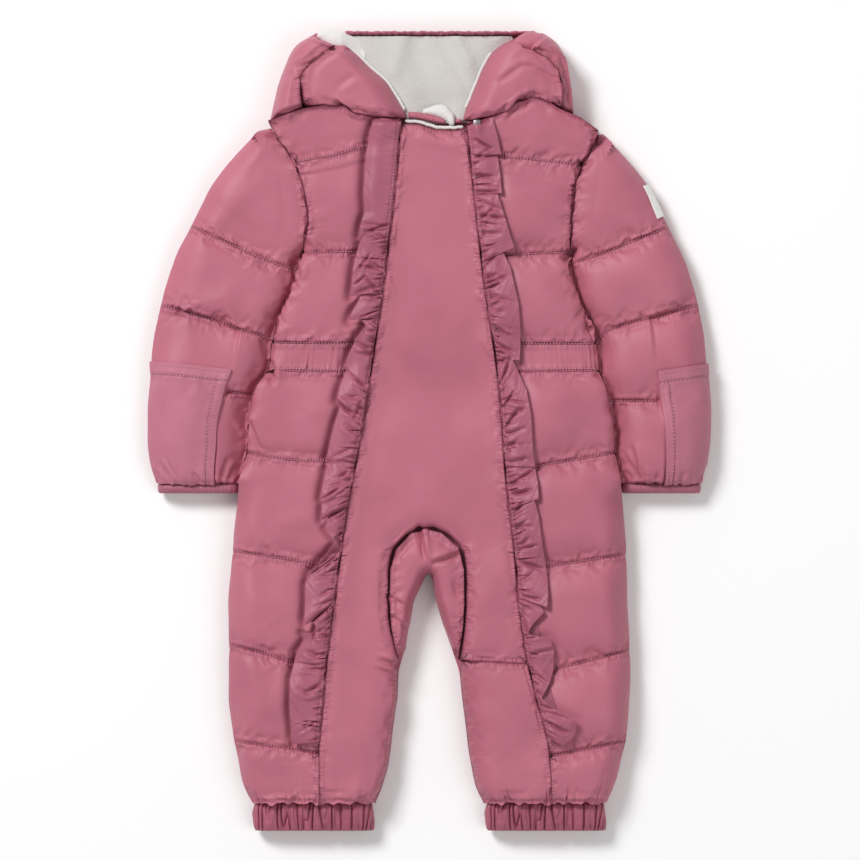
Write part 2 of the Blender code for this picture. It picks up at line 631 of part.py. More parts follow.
def sleeve(side):
    """A sleeve's front and back, its mitt, its binding and, on the left, the badge."""
    edges = (follow(SLEEVE_EDGE[side]), follow(SIDE_EDGE[side], outward(side, TOUCH / 2)))
    lines = SLEEVE_QUILT[side]
    grid, places = ladder(lines, edges, SLEEVE_COLUMNS, [CROWN_STEPS] + [QUILT_STEPS] * (len(lines) - 2))
    swell = sleeve_swell(grid, places, MITT_COLUMNS[side])
    height = front_height(grid, swell, *PADDING["sleeve"], free=(1, 1), side_roll=SLEEVE_ROLL, ends=(9, 0))
    points = with_height(grid, height)
    slab("sleeve_front_" + side, [points], FRONT_FLOOR, nylon)
    under, _ = ladder([lines[0], lines[1], lines[2], lines[-1]], edges, LEG_BACK_COLUMNS,
                      [CROWN_STEPS, BAND_STEPS, EVEN_STEPS])
    under = with_height(under, back_height(under, ends=(BACK_ROLL, 0)))
    slab("sleeve_back_" + side, [under], BACK_CEILING, nylon)
    first = row_of_line(MITT_LINE)
    overlay("mitt_" + side, points[first:, : MITT_COLUMNS[side]], *MITT_HEIGHTS, binding)
    if side == "left":
        overlay("sleeve_badge", points[BADGE_ROWS, :3], *BADGE_HEIGHTS, badge)
    wrist_binding(side, edges)


def wrist_binding(side, edges):
    """The narrow binding round the wrist, a flat tube."""
    outer, inner = (edge(WRIST_RINGS[0][0]) for edge in edges)
    ends = sorted((outer - outward(side, WRIST_INSET[0]), inner + outward(side, WRIST_INSET[1])))
    flat_tube("wrist_binding_" + side, *ends, WRIST_RINGS, binding)


def flat_tube(name, low_x, high_x, rings, cloth, folds=0, depth=0.0):
    """A short flattened tube that lies on the surface, its front gathered in even folds."""
    middle, half = (low_x + high_x) / 2, (high_x - low_x) / 2
    count = max(16, 4 * folds)
    front = np.linspace(1, -1, count + 1)
    under = np.linspace(-1, 1, 9)[1:]
    across = np.concatenate([front, under])
    is_front = np.concatenate([np.ones(count + 1), np.zeros(8)])
    bulge = np.sqrt(np.clip(1 - np.abs(across) ** 6, 0, 1))
    wave = is_front * bulge * depth * (0.5 - 0.5 * np.cos(across * math.pi * folds))
    loops = []
    for y, tall, drawn in rings:
        belly = tall * TUBE_BELLY
        up = np.where(is_front > 0, belly + (tall - belly) * bulge - wave, belly * (1 - bulge))
        loops.append(np.column_stack([middle + (half - drawn) * across, np.full(len(across), y), up]))
    for y, tall, drawn in (rings[-1], rings[0]):
        slot = tall * TUBE_BELLY + np.where(is_front > 0, 0.5, -0.5) * TUBE_SLOT * bulge
        across_slot = middle + (half - drawn - TUBE_WALL) * across
        loops.append(np.column_stack([across_slot, np.full(len(across), y), slot]))
    loops.append(loops[0])
    tube(name, np.array(loops), cloth)


# ---------------------------------------------------------------- trim on the front


def ruffle(side, trees):
    """The gathered strip sewn into a front seam, in waves that grow towards its free edge."""
    seam = follow(FRONT_SEAM[side], outward(side, RUFFLE_SEAM))
    edge = follow(RUFFLE_EDGE[side], rounding=2.5)
    top, bottom = RUFFLE_ENDS[side]
    rows = []
    for k in range(RUFFLE_WAVES * RUFFLE_SAMPLES + 1):
        share = k / (RUFFLE_WAVES * RUFFLE_SAMPLES)
        uneven = 0.35 * math.sin(9.0 * share * math.pi) + 0.25 * math.sin(5.3 * share * math.pi + 1)
        phase = 2 * math.pi * (RUFFLE_WAVES * share + uneven)
        y = top + (bottom - top) * share
        row = []
        for out, clear in RUFFLE_SECTION:
            droop = RUFFLE_DROOP * out * math.sin(phase)
            x = seam(y) + (edge(y) - seam(y)) * out + outward(side, RUFFLE_SEAM * out * math.cos(phase))
            under = [height_on(trees, x + outward(side, further), y + droop) for further in RUFFLE_CLEAR]
            base = max([FRONT_FLOOR] + [height for height in under if height])
            lift = RUFFLE_LIFT * out ** 0.8 * (0.5 + 0.5 * math.cos(phase))
            row.append((x, y + droop, base + clear + lift))
        rows.append(row)
    points = np.array(rows)
    # A span of cloth between two folds doesn't dip into the quilting seam below it.
    for _ in range(2):
        inner = (points[:-2, :, 2] + points[2:, :, 2]) / 2
        points[1:-1, :, 2] = np.maximum(points[1:-1, :, 2], inner * 0.5 + points[1:-1, :, 2] * 0.5)
    mesh = bmesh.new()
    lay_grid(mesh, points)
    raised = points.copy()
    raised[:, :, 2] += RUFFLE_WALL
    lay_grid(mesh, raised)
    bmesh.ops.bridge_loops(mesh, edges=[line for line in mesh.edges if line.is_boundary])
    return finished(mesh, "ruffle_" + side, ruffle_nylon)


def zip_on(surfaces):
    """The zip's tape along the left front seam, on the side fronts' inner columns, and its slider."""
    upper, waist, lower = surfaces
    last_row = len(lower) - len(QUILT_STEPS) - 1
    rows = np.concatenate([upper[1:], waist[1:], lower[1:last_row]])
    points = np.stack([rows[:, -3], rows[:, -2], (rows[:, -2] + rows[:, -1]) / 2], axis=1)
    made = overlay("zip_tape", points, *ZIP_TAPE_HEIGHTS, binding)
    mesh = bmesh.new()
    bmesh.ops.create_cube(mesh, size=1)
    bmesh.ops.scale(mesh, verts=mesh.verts, vec=Vector(SLIDER_SIZE) * MM)
    bmesh.ops.bevel(mesh, geom=mesh.edges, offset=SLIDER_BEVEL * MM, segments=2, profile=0.5, affect="EDGES")
    middle = height_on([tree_of(made)], *ZIP_SLIDER) + SLIDER_LIFT
    bmesh.ops.translate(mesh, verts=mesh.verts, vec=Vector((*ZIP_SLIDER, middle)) * MM)
    slider = finished(mesh, "zip_slider", metal)
    return made, slider


# ---------------------------------------------------------------- hood and neck


def hood():
    """The hood lying open: its hidden crown, the lining in its mouth, the sides and the folds at the margins."""
    crown_edges = (follow(HOOD_EDGE["right"]), follow(HOOD_EDGE["left"]))
    bottom = lowered([CROWN_FOOT_ENDS[0]] + neck_line()[1:-1] + [CROWN_FOOT_ENDS[1]], -GAP)
    crown, _ = ladder([CROWN_TOP, bottom], crown_edges, BACK_COLUMNS, EDGE_STEPS)
    slab("hood_crown", [with_height(crown, back_height(crown, ends=(BACK_ROLL, 0)))], BACK_CEILING, nylon)

    for side in ("right", "left"):
        edges = (follow(HOOD_EDGE[side]), follow(HOOD_SEAM[side], outward(side, GAP), rounding=4))
        grid, _ = ladder(MARGIN_LINES[side], edges, MARGIN_COLUMNS, EDGE_STEPS)
        height = front_height(grid, 1.0, *PADDING["hood_margin"], free=(1, 0), side_roll=MARGIN_ROLL,
                              ends=(10, 5))
        slab("hood_margin_" + side, [with_height(grid, height)], FRONT_FLOOR, nylon)

    lining_edges = [follow(HOOD_SEAM[side], -outward(side, LINING_INSET), rounding=4)
                    for side in ("right", "left")]
    first, last = LINING_FOOT_ENDS
    foot = lowered([point for point in neck_line() if first[0] < point[0] < last[0]], -LINING_RISE)
    grid, _ = ladder([LINING_TOP_LINE, [first] + foot[1:-1] + [last]], lining_edges, LINING_COLUMNS, EDGE_STEPS)
    slab("hood_lining", [with_height(grid, np.full(grid.shape[:2], LINING_TOP))], FRONT_FLOOR, fleece)

    for side in ("right", "left"):
        edges = (follow(HOOD_SEAM[side], -outward(side, GAP), rounding=4), follow(FACE_EDGE[side], rounding=4))
        first, last = HOOD_FOOT_ENDS[side]
        foot = lowered([first] + SHOULDER[side][3:-1] + [last], -HOOD_CLEAR)
        grid, _ = ladder([HOOD_TOPS[side], foot], edges, HOOD_COLUMNS, EDGE_STEPS)
        height = front_height(grid, 1.0, *PADDING["hood_side"], free=(0.25, 1), floor=LINING_TOP + GAP,
                              side_roll=HOOD_ROLL, ends=(9, 12))
        slab("hood_side_" + side, [with_height(grid, height)], LINING_TOP + GAP, nylon)
    hood_edge()
    nape()


def strip(name, table, floor, wall, rise, cloth, smooth=3, gathers=0):
    """A small padded strip from a table of x, lower y and upper y."""
    table = np.array(table, float)
    at = np.linspace(0, len(table) - 1, (len(table) - 1) * smooth + 1)
    x, low, high = (np.interp(at, range(len(table)), table[:, k]) for k in range(3))
    shares = np.array(STRIP_COLUMNS)
    y = low[:, None] + (high - low)[:, None] * shares
    grid = np.dstack([np.repeat(x[:, None], len(shares), axis=1), y])
    across = np.clip(1 - (2 * shares - 1) ** 2, 0, 1) ** 0.5
    along = hem(np.minimum(x - x.min(), x.max() - x) + RIM, STRIP_ROLL)
    if gathers:
        along *= 1 - CASING_DEPTH * np.abs(np.sin(math.pi * gathers * (x - x.min()) / np.ptp(x)))
    height = floor + wall + rise * across[None, :] * along[:, None]
    return slab(name, [with_height(grid, height)], floor, cloth)


def hood_edge():
    """The gathered elastic casing across the top of the hood's mouth."""
    table = [(x, *CASING_Y) for x in np.linspace(*CASING_X, CASING_GATHERS + 1)]
    strip("hood_edge", table, FRONT_FLOOR, 5, 7, nylon, smooth=2, gathers=CASING_GATHERS)


def nape():
    """The neck stand on both sides, the fleece fold between them and the fleece edge over the neckline."""
    floor = LINING_TOP + GAP
    strip("neck_band_right", NECK_BAND["right"], floor, 1.5, 4.5, nylon)
    strip("neck_band_left", NECK_BAND["left"], floor, 1.5, 3.5, nylon, smooth=6)
    strip("nape_lining", NAPE_FOLD, floor, 2.0, 7.0, fleece, smooth=2)
    neck_fleece()


def neck_fleece():
    """The fleece edge that stands over the neckline, a soft roll."""
    route = bpy.data.curves.new("neck_fleece", "CURVE")
    route.dimensions = "3D"
    route.bevel_depth = FLEECE_EDGE_RADIUS * MM
    route.bevel_resolution = 1
    route.use_fill_caps = True
    spline = route.splines.new("POLY")
    xs = np.linspace(*FLEECE_EDGE_X, 12)
    line = np.array(NECKLINE)
    up, above = FLEECE_EDGE_UP
    ys = [np.interp(x + np.linspace(-5, 5, 7), line[:, 0], line[:, 1]).mean() + up for x in xs]
    spline.points.add(len(xs) - 1)
    for point, x, y in zip(spline.points, xs, ys):
        point.co = (x * MM, y * MM, (FRONT_FLOOR + above) * MM, 1)
    guide = bpy.data.objects.new("neck_fleece_route", route)
    suit.objects.link(guide)
    bpy.context.view_layer.update()
    data = bpy.data.meshes.new_from_object(guide.evaluated_get(bpy.context.evaluated_depsgraph_get()))
    bpy.data.objects.remove(guide)
    mesh = bmesh.new()
    mesh.from_mesh(data)
    bmesh.ops.remove_doubles(mesh, verts=mesh.verts, dist=0.02 * MM)
    finished(mesh, "neck_fleece", fleece)


# ---------------------------------------------------------------- back and cuffs


def back():
    """The padded back, which carries the suit: upper back, waist and the two legs with a seam between them."""
    waist_top, waist_bottom = BACK_WAIST
    inset = (follow(SIDE_EDGE["right"], TOUCH / 2), follow(SIDE_EDGE["left"], -TOUCH / 2))
    pieces = (
        ("back_upper", [lowered(neck_line(), GAP / 2), lowered(waist_top, -GAP / 2)], EDGE_STEPS),
        ("back_waist", [lowered(waist_top, GAP / 2), lowered(waist_bottom, -GAP / 2)], (0, 0.5)),
    )
    for name, lines, steps in pieces:
        grid, _ = ladder(lines, inset, BACK_COLUMNS, steps)
        slab(name, [with_height(grid, back_height(grid))], BACK_CEILING, nylon)
    for side, outer in zip(("right", "left"), inset):
        edges = (outer, follow(BACK_INNER[side], rounding=5))
        lines = [[(outward(side, x), y), (outward(side, inner_x), inner_y)]
                 for x, y, inner_x, inner_y in BACK_LEG_LINES]
        grid, _ = ladder(lines, edges, LEG_BACK_COLUMNS, BAND_STEPS)
        free = np.clip((BACK_CROTCH - grid[:, -1, 1]) / SEAM_ROLL, 0, 1)
        slab("back_leg_" + side, [with_height(grid, back_height(grid, free=(1, free)))], BACK_CEILING, nylon)


def ankle_cuffs():
    """The elastic cuffs, gathered all along their front."""
    for side, ends in ANKLE_CUFFS.items():
        flat_tube("ankle_cuff_" + side, *ends, ANKLE_RINGS, nylon, ANKLE_FOLDS, ANKLE_FOLD_DEPTH)


# ---------------------------------------------------------------- build

for old in list(bpy.data.objects):
    bpy.data.objects.remove(old)
suit = bpy.data.collections.new("baby_snowsuit")
bpy.context.scene.collection.children.link(suit)

nylon = material("padded_nylon", NYLON, 0.42)
ruffle_nylon = material("ruffle_nylon", RUFFLE_NYLON, 0.5)
binding = material("binding_nylon", BINDING_NYLON, 0.48)
fleece = material("white_fleece", FLEECE, 0.95)
metal = material("zip_metal", METAL, 0.35, metallic=1.0)
badge = material("woven_badge", BADGE_WHITE, 0.7)

centre_fronts()
gusset()
fronts = {side: side_fronts(side) for side in ("right", "left")}
zip_parts = zip_on(fronts["left"])
for side in ("right", "left"):
    under = [tree_of(suit.objects[name + side]) for name in ("front_upper_", "front_waist_", "front_lower_")]
    if side == "left":
        under += [tree_of(made) for made in zip_parts]
    ruffle(side, under)
    sleeve(side)
hood()
back()
ankle_cuffs()
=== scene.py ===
# %% [markdown]
# # A baby's padded snowsuit, laid flat
#
# The suit lies on its back on a pale floor, front up, with its head towards +Y. It is sewn from thin
# nylon over wadding: quilted side fronts and sleeves, a plain puffed centre panel that runs down to
# both ankles, a puffed crotch gusset, a ruffle in each front seam, mitts that fold over the hands, an
# elastic waist and a hood lined with white fleece.
#
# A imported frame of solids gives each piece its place. Every padded panel here is a fine grid of cloth,
# pinned along its seams and blown up by Blender's Cloth, which gives the uneven puff of real wadding.

import json
import math

import bmesh
import bpy
import numpy as np
from numpy.linalg import norm
from mathutils import Matrix, Vector, kdtree
from mathutils.bvhtree import BVHTree

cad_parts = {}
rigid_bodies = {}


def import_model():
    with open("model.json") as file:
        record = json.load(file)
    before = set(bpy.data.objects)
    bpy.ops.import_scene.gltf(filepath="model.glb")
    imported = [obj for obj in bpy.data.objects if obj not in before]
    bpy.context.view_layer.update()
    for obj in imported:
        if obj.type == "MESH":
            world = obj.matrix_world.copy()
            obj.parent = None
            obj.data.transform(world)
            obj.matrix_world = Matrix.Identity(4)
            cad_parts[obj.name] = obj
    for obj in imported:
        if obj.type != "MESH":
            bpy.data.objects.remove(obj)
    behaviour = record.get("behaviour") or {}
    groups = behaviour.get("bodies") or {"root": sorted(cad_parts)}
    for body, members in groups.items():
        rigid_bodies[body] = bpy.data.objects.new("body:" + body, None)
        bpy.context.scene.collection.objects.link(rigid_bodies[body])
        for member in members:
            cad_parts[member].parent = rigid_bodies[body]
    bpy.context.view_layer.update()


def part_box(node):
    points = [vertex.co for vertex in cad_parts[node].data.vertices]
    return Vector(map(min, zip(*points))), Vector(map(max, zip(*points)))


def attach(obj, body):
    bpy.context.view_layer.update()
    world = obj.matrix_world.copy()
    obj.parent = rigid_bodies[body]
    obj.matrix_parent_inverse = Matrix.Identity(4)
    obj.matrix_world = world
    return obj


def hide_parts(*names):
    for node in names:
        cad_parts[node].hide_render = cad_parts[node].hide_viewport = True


for started_with in list(bpy.data.objects):
    bpy.data.objects.remove(started_with)
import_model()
MM = 0.001
scene = bpy.context.scene
scene.view_settings.view_transform = "Standard"  # white stays white and the dye keeps its colour

# %% [markdown]
# ## Camera, floor and light
#
# The camera looks straight down from six metres with a long lens, so the hood and the ankles have the
# same scale. The light is one large soft box over the wearer's right shoulder and a wide weak one
# opposite, which leaves each puff a light and a dark side.

# %% Camera
CAMERA_UP = 6.0
VIEW_WIDTH = 0.774  # metres across the picture, at the height of the suit's outline
OUTLINE_UP = 0.015
VIEW_CENTRE = (0.00045, 0.00045)

camera = bpy.data.objects.new("camera", bpy.data.cameras.new("camera"))
scene.collection.objects.link(camera)
camera.location = (*VIEW_CENTRE, CAMERA_UP)
camera.data.sensor_width = 36
camera.data.lens = camera.data.sensor_width * (CAMERA_UP - OUTLINE_UP) / VIEW_WIDTH
scene.camera = camera
print("lens mm:", round(camera.data.lens, 1))


# %% Colours and shader nodes
def to_linear(hex_colour):
    """An sRGB hex colour as the linear RGBA that Blender's sockets take."""
    parts = [int(hex_colour[k : k + 2], 16) / 255 for k in (1, 3, 5)]
    return (*[c / 12.92 if c <= 0.04045 else ((c + 0.055) / 1.055) ** 2.4 for c in parts], 1.0)


def add_node(tree, kind, links=None, values=None, **settings):
    """Adds one shader node, with its settings, its sockets' values and the links into it."""
    node = tree.nodes.new("ShaderNode" + kind)
    for name, value in settings.items():
        setattr(node, name, value)
    for socket, value in (values or {}).items():
        node.inputs[socket].default_value = value
    for socket, source in (links or {}).items():
        tree.links.new(source, node.inputs[socket])
    return node


def start_material(name, **principled):
    """A new material, and its Principled shader with these values."""
    made = bpy.data.materials.new(name)
    made.use_nodes = True
    shader = made.node_tree.nodes["Principled BSDF"]
    for socket, value in principled.items():
        shader.inputs[socket.replace("_", " ")].default_value = value
    return made, made.node_tree, shader


def noise(tree, vector, scale, detail, **values):
    """The grey of a noise texture."""
    values = {"Scale": scale, "Detail": detail, **values}
    return add_node(tree, "TexNoise", {"Vector": vector}, values).outputs["Fac"]


def remap(tree, value, low, high, first, last, **settings):
    """What goes from low to high now goes from first to last."""
    values = {"From Min": low, "From Max": high, "To Min": first, "To Max": last}
    return add_node(tree, "MapRange", {"Value": value}, values, **settings).outputs[0]


def maths(tree, operation, first, second, **settings):
    return add_node(tree, "Math", {0: first, 1: second}, operation=operation, **settings).outputs[0]


def bump(tree, height, strength, height_mm, **links):
    """Normals of a surface with this relief."""
    return add_node(tree, "Bump", {"Height": height, **links},
                    {"Strength": strength, "Distance": height_mm * MM}).outputs["Normal"]


def two_colours(tree, factor, first, second):
    """The colour between two, by a factor from 0 to 1."""
    return add_node(tree, "Mix", {"Factor": factor}, {6: to_linear(first), 7: to_linear(second)},
                    data_type="RGBA").outputs[2]


print("nylon in linear light:", [round(c, 3) for c in to_linear("#BA6A7C")])

# %% Floor, lights and world
FLOOR_AT = -0.0004  # metres, so that the suit's flat underside doesn't lie in it
FLOOR_REACH = 4  # metres to its edges
WORLD_STRENGTH = 0.37

paper, _, _ = start_material("matt_white_paper", Base_Color=to_linear("#FAFAFA"), Roughness=0.9)
sheet_of_paper = bmesh.new()
bmesh.ops.create_grid(sheet_of_paper, x_segments=1, y_segments=1, size=FLOOR_REACH)
floor_mesh = bpy.data.meshes.new("floor")
sheet_of_paper.to_mesh(floor_mesh)
sheet_of_paper.free()
floor_mesh.transform(Matrix.Translation((0, 0, FLOOR_AT)))
floor_mesh.materials.append(paper)
floor = bpy.data.objects.new("floor", floor_mesh)
scene.collection.objects.link(floor)

LIGHTS = (  # name, place, size in metres, power in watts
    ("soft_box", (-2.1, 2.3, 3.3), 1.4, 154),
    ("fill", (1.7, -1.2, 2.8), 2.4, 28),
)
for name, place, size, power in LIGHTS:
    lamp = bpy.data.lights.new(name, "AREA")
    lamp.size = size
    lamp.energy = power
    light = bpy.data.objects.new(name, lamp)
    light.location = place
    light.rotation_euler = (-Vector(place)).to_track_quat("-Z", "Y").to_euler()
    scene.collection.objects.link(light)
world = bpy.data.worlds.new("studio")
world.use_nodes = True
world.node_tree.nodes["Background"].inputs["Color"].default_value = (1, 1, 1, 1)
world.node_tree.nodes["Background"].inputs["Strength"].default_value = WORLD_STRENGTH
scene.world = world
print("lights:", [row[0] for row in LIGHTS])

# %% [markdown]
# ## The pattern pieces' lines
#
# A sewing pattern is a set of outlines. Each line here is a short table in millimetres: the edge lines
# give x at a height y, read down the garment, and the lines across run from the side to the middle.
# "right" and "left" are the wearer's, so the wearer's left is +X.

# %% Heights of the layers
GAP = 0.1  # between the pieces on each side of a seam, which nearly touch
TOUCH = 1.3  # between pieces that only lie against each other
SIDES = ("right", "left")
BACK_DEPTH = 14.0  # padded back, from the surface it lies on up to the empty inside
BACK_CEILING = BACK_DEPTH - GAP / 2
FRONT_FLOOR = BACK_DEPTH + GAP / 2
EDGE_WALL = 2.0  # what is left of a front panel at its free edge
LINING_WALL = 5.0
LINING_TOP = FRONT_FLOOR + LINING_WALL
LINING_INSET = 1.2
LINING_RISE = 2.0  # from the neck line
# Roll of a padded edge, and how far in from a seam the padding is full.
SIDE_ROLL = 26.0
SLEEVE_ROLL = 30.0
SHOULDER_ROLL = 13.0  # of the sleeves, at their top
MARGIN_ROLL = 16.0
HOOD_ROLL = 24.0
SEAM_ROLL = 20.0
BACK_ROLL = 13.0
RIM = 0.6  # a seam's own edge already stands this far into its roll
QUILT_NOTCH = 1.6  # a quilting seam pulls the outline in by this much

# Padding: the height of a panel at its seams, then what its puff adds between them.
PADDING = {
    "front_upper_": (9, 15),
    "front_waist_": (9, 7),
    "front_lower_": (9, 16),
    "centre": (9, 15),
    "gusset": (8, 16),
    "sleeve": (8, 14),
    "hood_margin": (24, 6),
    "hood_side": (11, 17),
}
MITT_FULLNESS = 3.5
END_ROLL = 16.0  # of the long plain panels, at the neck and the ankles
CROSS_ROLL = 12.0  # at the left leg's cross seam
ARCH_ROLL = 18.0  # round the crotch
print("from the floor to the front's floor:", FRONT_FLOOR, "mm")

# %% Edge lines
# Each is read down the garment: height y, then x.
SIDE_EDGE = {
    "right": [(290, -157), (278, -146), (257, -133), (241, -122), (221, -114), (192, -109), (163, -114),
              (138, -119), (123, -126), (104, -134), (80, -142), (56, -144), (40, -156), (12, -163),
              (-18, -164), (-45, -171), (-67, -173), (-112, -178), (-155, -181), (-198, -181), (-243, -181),
              (-279, -176), (-297, -172), (-315, -169), (-335, -161), (-345, -158)],
    "left": [(290, 159), (270, 153), (252, 144), (238, 137), (221, 130), (190, 127), (159, 127),
             (143, 125), (127, 132), (105, 139), (78, 151), (54, 152), (40, 158), (12, 164),
             (-18, 167), (-45, 172), (-67, 174), (-112, 178), (-155, 178), (-198, 181), (-243, 180),
             (-279, 177), (-297, 172), (-315, 168), (-335, 160), (-345, 157)],
}
FRONT_SEAM = {
    "right": [(290, -25), (279, -25), (243, -28), (195, -33), (142, -39), (70, -49), (22, -57), (-18, -63),
              (-75, -74), (-126, -81), (-175, -88), (-233, -94), (-285, -99), (-345, -99)],
    "left": [(290, 32), (272, 33), (243, 36), (178, 43), (142, 47), (68, 58), (31, 63), (-36, 67),
             (-104, 75), (-161, 80), (-208, 87), (-249, 98), (-279, 106), (-308, 109), (-345, 110)],
}
INNER_LEG = {
    "right": [(-98, -29), (-108, -34), (-120, -36.5), (-141, -37.5), (-158, -37.5), (-176, -36), (-192, -32),
              (-206, -28.5), (-217, -28.5), (-239, -28.5), (-261, -32), (-288, -35), (-304, -37.5),
              (-315, -41), (-325, -44), (-335, -49), (-345, -51)],
    "left": [(-98, 26), (-108, 30.5), (-120, 32.5), (-141, 33.5), (-158, 33), (-182, 31.5), (-205, 28),
             (-217, 27.5), (-239, 29), (-261, 32), (-288, 35), (-304, 38),
             (-315, 40), (-325, 43), (-335, 49), (-345, 51)],
}
BACK_INNER = {
    "right": [(60, -0.3), (-124, -0.3), (-134, -5), (-153, -14), (-174, -18), (-196, -22), (-217, -28)]
    + INNER_LEG["right"][9:],
    "left": [(60, 0.3), (-124, 0.3), (-134, 3), (-153, 6), (-174, 12), (-196, 20), (-217, 27)]
    + INNER_LEG["left"][8:],
}
SLEEVE_EDGE = {
    "right": [(280, -143), (272, -151), (258, -165), (236, -185), (215, -199), (193, -210), (171, -221),
              (150, -231), (128, -238), (107, -243), (85, -248), (63, -250), (48, -249), (20, -252),
              (-12, -252), (-34, -249), (-47, -243), (-55, -241)],
    "left": [(277, 147), (268, 155), (258, 164), (236, 185), (215, 200), (193, 210), (171, 221),
             (150, 231), (128, 238), (107, 243), (85, 247), (63, 249), (48, 250), (20, 252),
             (-12, 251), (-34, 248), (-48, 243), (-55, 241)],
}
HOOD_EDGE = {
    "right": [(362, -92), (358, -99), (355, -108), (351, -116), (344, -123), (333, -128), (312, -136),
              (290, -141), (276, -144)],
    "left": [(362, 92), (359, 98), (355, 108), (351, 113), (344, 118), (333, 123), (312, 127),
             (290, 129), (276, 130)],
}
HOOD_SEAM = {
    "right": [(352, -76), (347, -84), (335, -100), (326, -111), (318, -116), (302, -116), (286, -113)],
    "left": [(352, 75), (343, 86), (336, 103), (324, 115), (309, 119), (296, 119), (284, 119)],
}
FACE_EDGE = {
    "right": [(352, -84), (345, -74), (337, -63), (327, -54), (314, -38), (299, -29), (287, -22), (276, -19)],
    "left": [(362, 92), (357, 87), (351, 72), (342, 57), (325, 47), (309, 41), (293, 34), (281, 30), (272, 29)],
}
print("points of the side edges:", {side: len(rows) for side, rows in SIDE_EDGE.items()})

# %% Lines across the pieces
# Each is a row of (x, y) points from the side of the garment to its middle.
SHOULDER = {
    "right": [(-146, 278), (-132, 283), (-114, 289), (-96, 292), (-80, 290), (-70, 285), (-49, 281),
              (-25, 278.5)],
    "left": [(153, 270), (137, 281), (122, 287), (112, 292), (95, 299), (81, 294), (70, 286), (55, 281),
             (33, 275)],
}
YOKE_QUILT = {
    "right": [[(-122, 241), (-84, 248), (-58, 256), (-28, 261)],
              [(-114, 160), (-37, 161)]],
    "left": [[(137, 239), (67, 246), (35, 250)],
             [(127, 160), (44, 157)]],
}
WAIST_LINES = {
    "right": [[(-142, 79), (-48, 78)], [(-145, 54), (-52, 53)]],
    "left": [[(150, 78), (57, 78)], [(152, 54), (60, 53)]],
}
LEG_QUILT = {
    "right": [[(-164, -20), (-126, -26), (-91, -28), (-66, -31)],
              [(-178, -108), (-104, -119), (-80, -122)],
              [(-181, -192), (-152, -199), (-123, -208), (-92, -216)],
              [(-176, -279), (-123, -285), (-99, -290)]],
    "left": [[(166, -20), (95, -32), (68, -36)],
             [(178, -111), (106, -122), (77, -126)],
             [(181, -197), (145, -206), (112, -214), (88, -218)],
             [(177, -279), (123, -289), (107, -292)]],
}
ANKLE_LINE = {"right": [(-161, -335), (-99, -335)], "left": [(160, -335), (110, -335)]}
SLEEVE_QUILT = {
    "right": [[(-153, 270), (-143, 272)],
              [(-210, 184), (-184, 171), (-160, 159), (-137, 149), (-120, 145)],
              [(-240, 113), (-216, 106), (-193, 99), (-171, 91), (-153, 86), (-142, 81)],
              [(-250, 62), (-177, 55), (-145, 54)],
              [(-250, 41), (-178, 34), (-160, 33)],
              [(-243, -47), (-171, -48)]],
    "left": [[(157, 265), (150, 264)],
             [(211, 183), (184, 172), (162, 162), (142, 155), (126, 149)],
             [(242, 113), (217, 106), (189, 99), (162, 91), (151, 80)],
             [(250, 60), (205, 53), (155, 52)],
             [(251, 37), (204, 27), (160, 27)],
             [(243, -47), (172, -48)]],
}
NAPE_POINT = (4, 274)
NECKLINE = [(-25, 276), (-9, 275), (5, 270.5), (20, 269.5), (33, 270.5)]
CROTCH_ARCH = [(-80, -112), (-52, -108), (-32, -104), (-22, -94), (-10, -86.5), (4, -86.5), (17, -93),
               (28, -103), (52, -106), (76, -109)]
CROWN_TOP = [(-98, 357.5), (98, 357.5)]
CROWN_FOOT_ENDS = [(-143.5, 279), (130, 283.5)]
MARGIN_LINES = {
    "right": ([(-99, 356), (-85, 347)], [(-143, 279.8), (-132, 283.6), (-113.5, 289.8)]),
    "left": ([(98, 357), (87, 344)], [(129.5, 284.8), (119.5, 288.8)]),
}
LINING_TOP_LINE = [(-76, 354.5), (75, 354.5)]
LINING_FOOT_ENDS = [(-112, 291.5), (118, 291)]
HOOD_TOPS = {"right": [(-85, 347.5), (-82.5, 347)], "left": [(85.5, 345), (88, 355)]}
HOOD_FOOT_ENDS = {"right": [(-113, 290), (-20, 279.5)], "left": [(119, 289), (30, 277.5)]}
BACK_WAIST = ([(-142, 79), (151, 78)], [(-145, 54), (152, 54)])
ANKLE_END = -335 + GAP / 2
BACK_LEG_LINES = [  # on the left: x at the outside and y, then x at the inside and y
    (148, 54 - GAP / 2, 0.5, 54 - GAP / 2), (173, -67, 0.5, -67), (178, -112, 0.5, -122), (181, -200, 25, -200),
    (160, ANKLE_END, 49, ANKLE_END),
]
BACK_CROTCH = -126  # the back legs are sewn together above this height
LEFT_CROSS_SEAM = [(88, -209), (28, -206)]
SHIN_END = [(110, ANKLE_END), (49, ANKLE_END)]
GUSSET = [  # its sections from the right inner leg over the crotch to the left: outer x and y, inner x and y
    (-28.5, -207, -26.5, -207.5),
    (-32, -195, -21.5, -197),
    (-35.3, -176, -18, -175),
    (-36.7, -152, -13.5, -154),
    (-35.8, -124, -8, -141),
    (-30.5, -106, -5, -133),
    (-17, -91.5, -3, -130),
    (-3, -87.5, -1.5, -129),
    (11, -91, 0.5, -129.5),
    (26.5, -104, 2.5, -132),
    (31.6, -124, 4, -141),
    (32.2, -152, 6, -154),
    (31, -176, 12.5, -175),
    (28.4, -195, 20, -196),
    (26.8, -205, 25, -205.5),
]
GUSSET_INSET = 0.9  # from the legs' seam
GUSSET_FOOT = -203  # its two ends
GUSSET_ROLL = 9.0
GUSSET_END_ROLL = 14.0
ARCH_SHARES = (0.308, 0.692)  # where the centre panel splits, as shares of its width
MEET = 0.1  # mm from a line where a sleeve and the body meet
